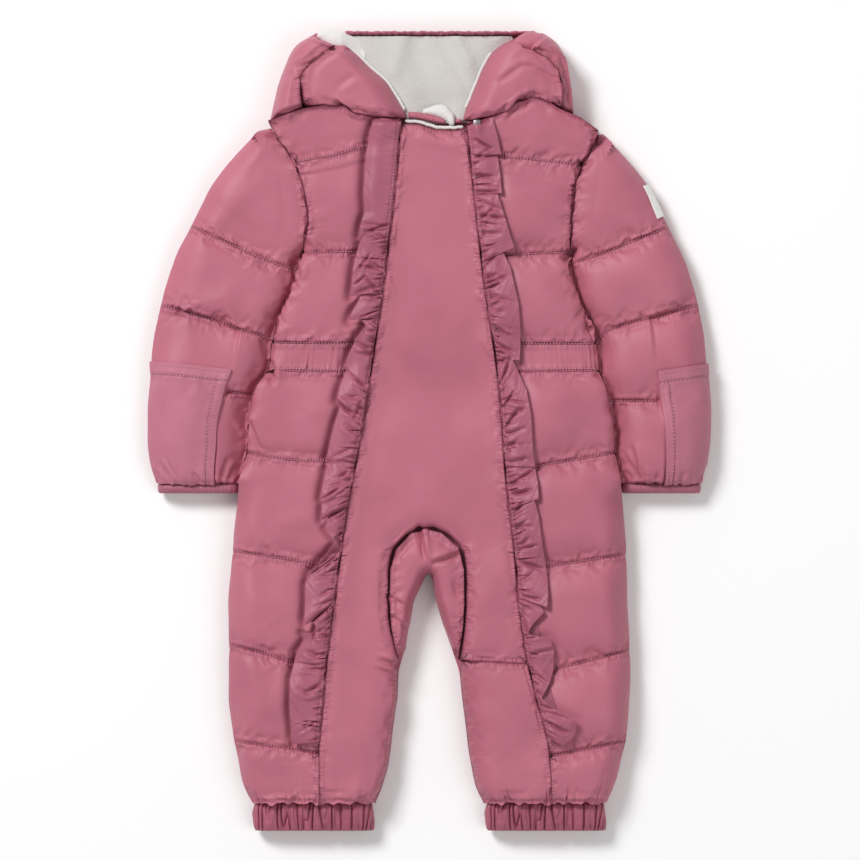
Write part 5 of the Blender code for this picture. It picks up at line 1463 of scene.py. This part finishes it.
def flat_tube(name, ends, rings, gathers, material, replaced, count):
    """A flattened tube through rings of (y, height, drawn in at the sides); gathers gives mm below the top."""
    middle, half = sum(ends) / 2, (ends[1] - ends[0]) / 2
    across = np.concatenate([np.linspace(1, -1, count + 1), np.linspace(-1, 1, count // 2)[1:]])
    front = np.arange(len(across)) <= count
    bulge = np.sqrt(np.clip(1 - np.abs(across) ** 6, 0, 1))
    table = np.array(rings, float)
    ys = np.linspace(table[0, 0], table[-1, 0], max(6, round(abs(np.ptp(table[:, 0])) / 0.9)))
    talls = np.interp(-ys, -table[:, 0], table[:, 1])
    drawns = np.interp(-ys, -table[:, 0], table[:, 2])
    loops = []
    for y, tall, drawn in zip(ys, talls, drawns):
        belly = tall * TUBE_BELLY
        lip = min(abs(y - ys[0]), abs(y - ys[-1]))
        round_over = 1.2 * math.exp(-((lip / 0.9) ** 2))
        low = gathers(across, y) * bulge
        up = np.where(front, belly + (tall - belly) * bulge - low - round_over,
                      np.maximum(belly * (1 - bulge), 0.1 * round_over))
        side_low = gathers(across * 0.7 + 3, y) * (1 - bulge) * 0.6
        loops.append(np.column_stack([middle + (half - drawn - 0.5 * round_over - side_low) * across,
                                      np.full(len(across), y), up]))
    for y, tall, drawn in (rings[-1], rings[0]):
        slot_up = tall * TUBE_BELLY + np.where(front, 0.5, -0.5) * TUBE_SLOT * bulge
        loops.append(np.column_stack([middle + (half - drawn - TUBE_WALL) * across,
                                      np.full(len(across), y), slot_up]))
    loops.append(loops[0])
    mesh = bmesh.new()
    lay_cloth(mesh, np.array(loops), TUBE_SHADE)
    bmesh.ops.remove_doubles(mesh, verts=mesh.verts, dist=0.01 * MM)
    finished(mesh, name, material, replaced)


def small_puckers(across, _):
    return 0.35 * uneven(across * 9, 3) + 0.3


def elastic_gathers(across, y):
    """Uneven upright folds: round ridges with narrow clefts between them, which lean and fork a little."""
    lean = 0.16 * uneven(across * 2.2, 6) + 0.022 * (y + 347) * uneven(across * 1.7, 2)
    phase = across * CUFF_GATHERS + 1.1 * uneven(across * 3.1, 4) + lean * 3
    ridge = np.abs(np.sin(math.pi * phase / 2)) ** 0.55
    finer = np.abs(np.sin(math.pi * (phase * 1.9 + 0.4))) ** 0.7
    return CUFF_DEPTH * (1 - ridge) + 0.7 * (1 - finer) + 0.4 * np.sin((y + 340) / 2.6)


for side in SIDES:
    edges = (follow(SLEEVE_EDGE[side]), follow(SIDE_EDGE[side], outward(side, TOUCH / 2)))
    outer, inner = (edge(WRIST_TOP) for edge in edges)
    ends = sorted((outer - outward(side, WRIST_INSET[0]), inner + outward(side, WRIST_INSET[1])))
    ends = (ends[0] - BINDING_WIDER, ends[1] + BINDING_WIDER)
    name = "bound_wrist_" + side
    flat_tube(name, ends, BINDING_RINGS, small_puckers, binding_nylon,
              ["wrist_binding_" + side], 90)
    name = "elastic_ankle_" + side
    flat_tube(name, ANKLE_CUFFS[side], CUFF_RINGS, elastic_gathers, shell_nylon,
              ["ankle_cuff_" + side], 300)
    print(name, "area cm2:", round(surface_area(pieces[name]) * 1e4, 1))

# %% Badge
# A small blank woven label, folded over the left sleeve's outer edge.
BADGE_FROM_TO, BADGE_WIDE = (221.5, 192.5), 4.5  # y of its two ends, and mm that it reaches in
sleeve = panels["sleeve_front_left"]["parts"][0]
outer_edge = sleeve["plain"][:, 0]
rows = np.flatnonzero((outer_edge[:, 1] < BADGE_FROM_TO[0]) & (outer_edge[:, 1] > BADGE_FROM_TO[1]))
inwards = norm(sleeve["plain"][rows[0], :, :2] - outer_edge[rows[0], :2], axis=1)
columns = int(np.argmax(inwards > BADGE_WIDE))
under = rubbed(sleeve["plain"], 4)[rows[0] : rows[-1] + 1, : columns + 1]
mesh = bmesh.new()
walled(mesh, under, 0.4, 1.3, AWAY)
badge = finished(mesh, "blank_badge", label_yarn, ["sleeve_badge"])
print("badge rows:", len(rows), "columns:", columns)

# %% [markdown]
# ## Zip
#
# The left front seam opens with a zip that runs down under the ruffle. Its tape lies on the side front,
# the moulded teeth stand along the tape's inner edge, and the slider waits at the neck. Only the
# tape's lower end and a glint of the slider can be seen, but the whole zip is there.


# %% Heights on what is already made
def tree_of(*names):
    """The surface of these pieces, to find heights on it."""
    mesh = bmesh.new()
    for name in names:
        mesh.from_mesh(pieces[name].data)
    tree = BVHTree.FromBMesh(mesh)
    mesh.free()
    return tree


def heights_on(tree, across, up):
    """The height in mm of what lies under each point of a grid."""
    found = np.full(across.shape, FRONT_FLOOR)
    for place in np.ndindex(across.shape):
        hit = tree.ray_cast(Vector((across[place] * MM, up[place] * MM, 0.2)), Vector((0, 0, -1)))[0]
        if hit:
            found[place] = hit.z / MM
    return found


def bridged(heights, passes):
    """Heights along a stiff strip: it spans the dips between two puffs."""
    for _ in range(passes):
        between = (heights[:-2] + heights[2:]) / 2
        heights[1:-1] = np.maximum(heights[1:-1], between)
        ease(heights)
    return heights


front_names = {side: [f"padded_front_{part_name}_{side}" for part_name in ("upper", "waist", "lower")]
               for side in SIDES}
print("surface under the left ruffle:", front_names["left"])

# %% Zip tape and teeth
ZIP_TAPE = (3.4, 15.6)  # its two edges, from the front seam
ZIP_TOP, ZIP_FOOT = 264, -284
TAPE_COLUMNS, TAPE_PASSES = 7, 3  # across the tape, and how often it is bridged
TOOTH = (2.2, 1.0, 1.1)
TOOTH_PITCH = 2.6
TOOTH_IN, TOOTH_UP, TOOTH_ASIDE = 1.4, 1.5, 0.7  # from the tape's inner edge, over the tape, and by turns
seam_x = follow(FRONT_SEAM["left"])
ys = np.arange(ZIP_TOP, ZIP_FOOT, -2.0)
across = seam_x(ys)[:, None] + np.linspace(*ZIP_TAPE, TAPE_COLUMNS)
up = np.repeat(ys[:, None], TAPE_COLUMNS, axis=1)
left_front = tree_of(*front_names["left"])
tape = np.dstack([across, up, bridged(heights_on(left_front, across, up), TAPE_PASSES)])
mesh = bmesh.new()
walled(mesh, tape, 0.35, 1.0, AWAY)
zip_tape = finished(mesh, "zip_tape_yarn", tape_yarn, ["zip_tape"])

mesh = bmesh.new()
tooth_ys = np.arange(ZIP_TOP - 12, ZIP_FOOT + 4, -TOOTH_PITCH / 2)
tooth_x = seam_x(tooth_ys) + ZIP_TAPE[0] + TOOTH_IN
tooth_up = np.interp(-tooth_ys, -ys, tape[:, 1, 2]) + TOOTH_UP
for number, (x, y, height) in enumerate(zip(tooth_x, tooth_ys, tooth_up)):
    cube = bmesh.ops.create_cube(mesh, size=1)["verts"]
    bmesh.ops.scale(mesh, verts=cube, vec=Vector(TOOTH) * MM)
    aside = TOOTH_ASIDE if number % 2 else -TOOTH_ASIDE
    bmesh.ops.translate(mesh, verts=cube, vec=Vector((x + aside, y, height)) * MM)
bmesh.ops.bevel(mesh, geom=mesh.edges, offset=0.25 * MM, segments=1, profile=0.5, affect="EDGES", material=-1)
finished(mesh, "zip_teeth", zip_plastic)
print("zip teeth:", len(tooth_ys))


# %% Slider
def add_block(mesh, size, place, bevel):
    """A block with rounded edges."""
    block = bmesh.ops.create_cube(mesh, size=1)["verts"]
    bmesh.ops.scale(mesh, verts=block, vec=Vector(size) * MM)
    edges = list({edge for vert in block for edge in vert.link_edges})
    bevelled = bmesh.ops.bevel(mesh, geom=edges, offset=bevel * MM, segments=2, profile=0.5, affect="EDGES",
                               material=-1)["verts"]
    bmesh.ops.translate(mesh, verts=bevelled, vec=Vector(place) * MM)


ZIP_SLIDER = (42.5, 274.5)
x, y = ZIP_SLIDER
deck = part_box("zip_slider")[0][2] / MM + 1.0
mesh = bmesh.new()
add_block(mesh, (6.0, 8.0, 1.2), (x, y, deck), 0.5)
add_block(mesh, (6.4, 7.4, 1.1), (x, y, deck + 2.1), 0.5)
add_block(mesh, (1.6, 4.6, 2.4), (x, y + 0.6, deck + 1.6), 0.5)
add_block(mesh, (1.2, 5.4, 1.2), (x, y, deck + 3.4), 0.5)
add_block(mesh, (3.6, 9.5, 1.0), (x - 0.3, y - 5.0, deck + 1.9), 0.45)
finished(mesh, "zip_pull", zip_metal, ["zip_slider"])
print("slider deck at", round(deck, 1), "mm")

# %% [markdown]
# ## Ruffles
#
# A ruffle is a strip gathered to about two thirds of its length and sewn in the front seam. Along the
# seam it stands in fine gathers; towards its free edge they open into a few flat facets that fold over
# each other. A smooth wave doesn't look like that, so each fold is a line of its own here, from the
# seam to the free edge, with its height. Where the strip folds under itself, the next line goes back.

# %% Creases of the ruffles
RUFFLE_LIFT = {"right": 1.6, "left": 1.0}  # of the folds' heights
HIGHEST_FOLD = 8.0
RUFFLE_SEAM = 1.2  # mm from the front seam
RUFFLE_GATHER, RUFFLE_DEPTH = 12.0, 3.8  # mm from one gather to the next at the seam, and their depth
RUFFLE_CREASES = [  # as the panels' creases
    (-53.6, 158, -67, 140, 2.5, 1.37), (-51.8, 151.7, -40.1, 140.8, 2.5, 1.37),
    (-67, 131, -58.1, 138.2, 2.1, 1.15), (-58.1, 138.2, -41.9, 119.2, 2.5, 1.37),
    (-37.4, 185, -57.1, 177.8, 3, 1.37), (-83.2, 27.4, -67, 11.2, 3, 1.37),
    (-67, 11.2, -60.8, 27.4, 2.1, 1.37), (-77.9, -49.1, -95.9, -61.6, 3, 1.37),
    (-74.2, -68, -95, -79.7, 3, 1.37), (-86, -154.3, -109.4, -173.2, 2.5, 1.8),
    (-103, -175.1, -104, -188.6, 2.5, 1.37), (-117.5, -208.3, -95, -211.1, 1.2, 0.86),
    (-120.2, -217.3, -98.5, -221, 1, 0.86), (54.5, 253.3, 41.9, 245.2, 2.1, 1.3),
    (57.1, 198.5, 42.8, 187.7, 3, 1.44), (50, 175.1, 45.5, 182.2, 2.1, 1.3),
    (63.5, 16.7, 75.2, 34.6, 3, 1.37), (66.2, 0.5, 77.9, 16.7, 3, 1.37), (68, -14.8, 78.8, -8.6, 2.1, 1.3),
    (70.7, -49.1, 93.2, -35.6, 3, 1.37), (77.9, -106.7, 95.9, -103, 2.1, 1.37),
    (73.4, -87.8, 87.8, -80.5, 2.1, 1.3), (50.9, 126.5, 63.5, 132.8, 2.5, 1.3),
    (52.6, 110.2, 66.2, 117.5, 2.1, 1.3),
]
print("creases on the ruffles:", len(RUFFLE_CREASES))

# %% Ruffles
RUFFLE_AT = (0, 0.16, 0.4, 0.7, 1)  # shares of its width, for the next line
RUFFLE_OVER = {"right": (1.0, 2.6, 2.6, 3.2, 4.2), "left": (1.0, 2.6, 2.2, 1.8, 1.5)}  # mm over the panel
RUFFLE_ROWS, RUFFLE_COLUMNS = 1.0, 33  # mm from one row to the next, and columns across it
RUFFLE_BRIDGE = (20, 16)  # passes along it and across it
RUFFLE_CREASED = 1.3  # times a crease's depth
RUFFLE_CALM = {"right": (160, 195), "left": (238, 262)}  # y from where it has few gathers, towards the neck


def fold_line(folds, step):
    """The folds' table with rows this many mm apart along the free edge, its corners a little rounded."""
    line = finer_rows(folds, norm(np.diff(folds[:, 1:3], axis=0), axis=1), step, 5)
    for _ in range(2):
        ease(line)
    return line


def ruffle_relief(line, shares, seed):
    """Gathers and crumples of a ruffle in mm: narrow valleys from the seam, broken facets beyond them."""
    run = np.concatenate([[0], np.cumsum(np.hypot(*np.diff(line[:, 1:3], axis=0).T))])[:, None]
    slant = 0.6 * uneven(run / 47, seed + 6) * shares
    wave = uneven(-line[:, 0][:, None] / RUFFLE_GATHER + slant, seed + 2)
    far = np.clip(0.26 + 0.3 * uneven(run / 17, seed + 1), 0.1, 0.8)
    valleys = bell(wave, 0.27) - 0.4 * bell(np.abs(wave) - 0.62, 0.25)
    relief = -RUFFLE_DEPTH * valleys * (1 - np.exp(-shares / 0.04)) * bell(shares, far)
    bent = 0.5 * uneven(run / 33 + 1.4 * shares, seed + 9)
    return relief + 0.9 * np.abs(uneven(run / 50 + 0.7 * shares + bent, seed + 5)) * shares


def small_creases(across, up, seed):
    """Creases that fan out from the seam at uneven places and slants, in rows like the panels' creases."""
    chance = np.random.default_rng(seed)
    rows, row = [], 0
    while row < len(across) - 20:
        row += int(chance.integers(9, 25))
        turned = min(max(row + int(chance.integers(-9, 10)), 0), len(across) - 1)
        first, last = int(chance.integers(1, 9)), int(chance.integers(14, 31))
        rows.append((across[row, first], up[row, first], across[turned, last], up[turned, last],
                     chance.uniform(1.2, 3.2), chance.uniform(1.2, 2.3)))
    return rows


for seed, side in enumerate(SIDES):
    under = tree_of(*front_names[side], *(["zip_tape_yarn", "zip_pull"] if side == "left" else []))
    line = fold_line(np.array(RUFFLE_FOLDS[side], float), RUFFLE_ROWS)
    shares = np.linspace(0, 1, RUFFLE_COLUMNS)[None]
    start = follow(FRONT_SEAM[side], outward(side, RUFFLE_SEAM))(line[:, 0])[:, None]
    across = start + (line[:, 1][:, None] - start) * shares
    up = line[:, 0][:, None] * (1 - shares) + line[:, 2][:, None] * shares
    resting = bridged(bridged(heights_on(under, across, up), RUFFLE_BRIDGE[0]).T, RUFFLE_BRIDGE[1]).T
    lift = np.minimum(RUFFLE_LIFT[side] * line[:, 3], HIGHEST_FOLD)[:, None] * shares**0.7
    over = np.interp(shares, RUFFLE_AT, RUFFLE_OVER[side])
    points = np.dstack([across, up, resting + over + lift])
    points[:, :, 2] += ruffle_relief(line, shares, seed) * np.interp(up, RUFFLE_CALM[side], (1, 0.25))
    small = [row for row in small_creases(across, up, seed + 3) if row[1] < RUFFLE_CALM[side][1]]
    for row in RUFFLE_CREASES + small:
        points[:, :, 2] -= RUFFLE_CREASED * crease(points, row)
    mesh = bmesh.new()
    # Its seam attribute paints the ruffle a little darker within about a millimetre of the seam: the nylon's
    # painted seam shade.
    walled(mesh, points, -0.2, 0.25, shares * 24 + 1.0)
    name = "gathered_ruffle_" + side
    ruffle = finished(mesh, name, ruffle_nylon, ["ruffle_" + side])
    stitched.append((points[:, 2], 2.2))
    print(name, "points:", points.shape[:2], "highest mm:", round(points[:, :, 2].max(), 1))

# %% [markdown]
# ## Hood lining, neck and casing
#
# The hood is lined with white fleece, which shows in its open mouth, in a fold at the nape and as a thin
# edge over the neckline. Fleece has a matt, cloudy nap, so these pieces get small soft bumps in their
# mesh and the rest in their material. Across the top of the mouth runs a narrow gathered casing.


# %% Fleece lining
def nap(points, seed):
    """Soft uneven bumps of a brushed nap."""
    x, y = points[:, :, 0], points[:, :, 1]
    across = uneven(x / 3.1 + 0.4 * uneven(y / 7, seed), seed)
    return 0.22 * across * uneven(y / 2.7 + 0.3 * uneven(x / 5, seed), seed + 3)


edges = [hood_line(HOOD_SEAM, side, -LINING_INSET) for side in SIDES]
first, last = LINING_FOOT_ENDS
between = [point for point in neck_line if first[0] < point[0] < last[0]]
foot = lowered([first] + between[1:-1] + [last], -LINING_RISE)
LINING_WIDE = 190
grid, _, _ = cloth_rows([LINING_TOP_LINE, foot], edges, even_shares(0, 1, width=LINING_WIDE))
faces = [hood_line(FACE_EDGE, side)(grid[:, :, 1]) for side in SIDES]
inside = np.minimum(grid[:, :, 0] - faces[0], faces[1] - grid[:, :, 0])
shown = np.clip(inside / 14, 0, 1) ** 0.8
x, y = grid[:, :, 0], grid[:, :, 1]
# Soft folds that slant across the lining, and the hollow at the nape.
soft = 3.4 * bell(x - 36 + 0.5 * (y - 330), 7)
soft -= 2.4 * bell(x - 22 + 0.6 * (y - 330), 8)
soft += 2.6 * bell(x + 34 - 0.3 * (y - 320), 9) + 1.3 * uneven(x / 60 + y / 90, 2)
soft -= 1.6 * bell(x + 8 + 0.2 * (y - 330), 11)
soft -= 4.0 * bell(y - 292, 12) * bell(x - 5, 26)
height = LINING_TOP - 0.2 + shown * (1.6 + soft)
points = twice_as_fine(np.dstack([grid, height]))
points[:, :, 2] += nap(points, 1) * 0.6
mesh = bmesh.new()
lay_cloth(mesh, points, AWAY)
close_onto(mesh, FRONT_FLOOR)
lining = finished(mesh, "fleece_lining", lining_fleece_painted_shade, ["hood_lining"])
print("lining:", points.shape[:2], "highest mm:", round(points[:, :, 2].max(), 1))


# %% Small padded strips
STRIP_ROLL = 3.0
CASING_X = (-76, 95)
CASING_Y = (355.2, 359.6)
NECK_BAND = {  # x, lower y, upper y
    "right": [(-19, 281, 286.5), (-9, 280, 286), (2, 277.5, 284), (11, 276, 281), (14, 276, 278.5)],
    "left": [(23.5, 276.5, 280), (28.5, 276, 280)],
}
NAPE_FOLD = [  # x, lower y, upper y
    (-6, 287, 289), (0, 286, 291), (6, 285, 293), (11, 283, 293.5), (15.2, 281, 292), (19, 276.5, 288),
    (22.5, 276.5, 284),
]
NAPE_TUCK = 3  # mm of the fold under the neck's edge


def strip(name, table, floor, wall, rise, material, replaced=(), texture=None, step=0.9, ridge=0.5,
          seam=4.0):
    """A small padded strip from a table of x, lower y, upper y and, where it sinks, the share of its height."""
    table = np.array(table, float)
    if table.shape[1] == 3:
        table = np.column_stack([table, np.ones(len(table))])
    count = max(12, round(np.ptp(table[:, 0]) / step))
    at = np.linspace(0, len(table) - 1, count + 1)
    x, low, high, tall = resampled(table, at).T
    for values in (x, low, high, tall):
        for _ in range(max(1, count // (6 * len(table)))):
            ease(values)
    shares = 0.5 - 0.5 * np.cos(np.linspace(0, math.pi, max(9, round(np.max(high - low) / step) + 3)))
    y = low[:, None] + (high - low)[:, None] * shares
    across = np.clip(1 - (2 * shares - 1) ** 2, 0, 1) ** ridge
    along = hem(np.minimum(x - x.min(), x.max() - x) + RIM, STRIP_ROLL)
    points = np.dstack([np.repeat(x[:, None], len(shares), axis=1), y,
                        floor + (wall + rise * across[None] * along[:, None]) * tall[:, None]])
    if texture:
        points[:, :, 2] += texture(points) * across[None]
    mesh = bmesh.new()
    lay_cloth(mesh, points, seam)
    close_onto(mesh, floor)
    finished(mesh, name, material, replaced)
    return points


def casing_gathers(points):
    x, y = points[:, :, 0], points[:, :, 1]
    return 3.2 * np.abs(np.sin(math.pi * (x / 8.3 + 0.5 * uneven(x / 19, 3) + 0.1 * (y - 357)))) ** 0.7 - 3.2


def band_puckers(points):
    return 0.5 * uneven(points[:, :, 0] / 3.4, 2)


xs = np.linspace(*CASING_X, 140)
casing_foot = CASING_Y[0] + 0.6 + 0.7 * uneven(xs / 6.1, 2)
casing_top = CASING_Y[1] - 0.4 + 0.5 * uneven(xs / 8.3, 5)
# seam=1.1 puts the whole casing inside the nylon's painted seam shade, so it is painted a little darker.
strip("gathered_casing", np.column_stack([xs, casing_foot, casing_top]), FRONT_FLOOR, 5, 7, shell_nylon,
      ["hood_edge"], casing_gathers, step=0.7, seam=1.1)
lining_top = LINING_TOP + GAP
band = strip("neck_stand_right", NECK_BAND["right"], lining_top, 2.5, 6.5, shell_nylon,
             ["neck_band_right"], band_puckers)
stitched.append((band[:, len(band[0]) // 3], 1.8))
strip("neck_stand_left", NECK_BAND["left"], lining_top, 1.5, 3.5, shell_nylon,
      ["neck_band_left"], band_puckers)
nape = [(x, low - NAPE_TUCK, high) for x, low, high in NAPE_FOLD]
strip("nape_fleece", nape, lining_top, 0.4, 5.5, white_fleece, ["nape_lining"],
      lambda points: 2 * nap(points, 2), step=0.6)
print("strips:", list(pieces)[-4:])


# %% Fleece rolls
def fleece_roll(name, points, radii, replaced=()):
    """A soft roll of fleece through points in mm, its nap raised in the mesh."""
    at = np.linspace(0, len(points) - 1, (len(points) - 1) * 8 + 1)
    line = resampled(np.column_stack([points, radii]), at)
    for _ in range(8):
        ease(line)
    line[:, 3] *= hem(np.minimum(np.arange(len(line)), np.arange(len(line))[::-1]) + 0.4, 4)
    along = np.gradient(line[:, :3], axis=0)
    along /= norm(along, axis=1)[:, None]
    aside = np.cross(along, (0, 0, 1))
    upward = np.cross(aside, along)
    turns = np.linspace(0, 2 * math.pi, 17)
    rough = 1 + 0.25 * uneven(np.arange(len(line))[:, None] / 3.3, 4) * uneven(turns[None] * 2 / math.pi, 2)
    ring = aside[:, None] * np.cos(turns)[None, :, None] + upward[:, None] * np.sin(turns)[None, :, None]
    rough[:, -1] = rough[:, 0]
    tube = line[:, None, :3] + ring * (line[:, 3][:, None] * rough)[:, :, None]
    mesh = bmesh.new()
    lay_grid(mesh, tube)
    bmesh.ops.remove_doubles(mesh, verts=mesh.verts, dist=0.01 * MM)
    bmesh.ops.holes_fill(mesh, edges=[edge for edge in mesh.edges if edge.is_boundary], sides=0)
    finished(mesh, name, white_fleece, replaced)


FLEECE_EDGE_X = (-22, 30.5)
FLEECE_EDGE_RADIUS = 1.5
FLEECE_EDGE_UP = (2.4, 10)  # up the garment from the neckline, and above the front's floor
necks = np.array(NECKLINE)
up, above = FLEECE_EDGE_UP
xs = np.linspace(*FLEECE_EDGE_X, 14)
ys = np.interp(xs, necks[:, 0], necks[:, 1]) + up + 0.5 * uneven(xs / 9, 3)
fleece_roll("neck_fleece_edge", np.column_stack([xs, ys, np.full(len(xs), FRONT_FLOOR + above)]),
            np.full(len(xs), FLEECE_EDGE_RADIUS), ["neck_fleece"])
LOBE = [  # x, lower y, upper y and share of its height, of the fleece turned out over the hood's corner
    (-101, 353.5, 356, 1), (-97, 350, 359, 1), (-91, 344, 360.2, 1), (-85, 341, 360, 1), (-79, 339, 359, 0.9),
    (-74, 340, 356.5, 0.6), (-68, 337, 354, 0.3), (-62, 335, 351, 0), (-58, 334, 348, 0),
]
strip("hood_fleece_lobe", LOBE, 20, 2, 7, white_fleece, texture=lambda points: 2.2 * nap(points, 5),
      step=0.7, ridge=0.35)
CORNER = [  # x, lower y and upper y of the hood's folded corner on the left
    (75, 345, 350), (80, 340, 355), (86, 337, 358.2), (92, 337, 358.6), (98, 341, 357.6), (103, 347.5, 353.5),
]
strip("hood_corner_left", CORNER, FRONT_FLOOR, 5, 18, shell_nylon, step=0.7, ridge=0.4)
FACE_FLEECE = {"right": (345, 288), "left": (340, 290)}  # y from its top to its foot
for side, ends in FACE_FLEECE.items():
    ys = np.linspace(*ends, 12)
    xs = hood_line(FACE_EDGE, side, -0.5)(ys) + 0.3 * uneven(ys / 7, 2)
    fleece_roll("face_fleece_" + side, np.column_stack([xs, ys, np.full(len(ys), LINING_TOP + 2.5)]),
                np.full(len(ys), FLEECE_EDGE_RADIUS))
print("fleece edges and the hood's corners:", list(pieces)[-5:])

# %% [markdown]
# ## Stitching
#
# The quilting, the front seams, the waist, the mitts and the neck band are sewn with a thread a little
# lighter than the cloth, and its light colour also paints the highlight on each stitch. A stitch is about
# two millimetres long and one across, sunk at both ends.
# There are well over a thousand, so each is a stretched icosphere of twenty faces.

# %% Sewing
STITCH_PITCH = 1.45  # from one to the next, in its lengths
THREAD, THREAD_UP = (0.5, 0.42), 0.3  # half its width and height, and how far it lies over the cloth
STITCH_RISE = (0, 0, 0.7)  # a stitch spans the valley of its quilted line


def sew(name, rows, material):
    """Stitches along rows of (points in mm, length of a stitch)."""
    mesh = bmesh.new()
    total = 0
    for points, length in rows:
        run = run_along(points)
        for place in np.arange(length, run[-1] - length, length * STITCH_PITCH):
            ends = [np.array([np.interp(place + half, run, points[:, k]) for k in range(3)])
                    for half in (-length / 2, length / 2)]
            middle, along = (ends[0] + ends[1]) / 2, Vector(ends[1] - ends[0])
            turn = along.to_track_quat("X", "Z").to_matrix().to_4x4()
            size = Matrix.Diagonal((length / 2 * MM, THREAD[0] * MM, THREAD[1] * MM, 1))
            matrix = Matrix.Translation(Vector(middle + (0, 0, THREAD_UP)) * MM) @ turn @ size
            bmesh.ops.create_icosphere(mesh, subdivisions=1, radius=1, matrix=matrix)
            total += 1
    finished(mesh, name, material)
    print(name, total, "stitches")


for panel in panels.values():
    for grid in panel["parts"]:
        for kind, index, style, first in grid["seams"]:
            if style is QUILTING:
                line = grid["fine"][2 * index, 2 * first + 2 : -2] + STITCH_RISE
                stitched.append((line, 1.9))
            elif style in (FRONT_SEWING, WAIST_ELASTIC):
                near = 2 * index - 1 if index else 1
                line = grid["fine"][near, 2:-2] if kind == "row" else grid["fine"][2:-2, near]
                stitched.append((line, 2.1))
sew("seam_stitching", stitched, thread)
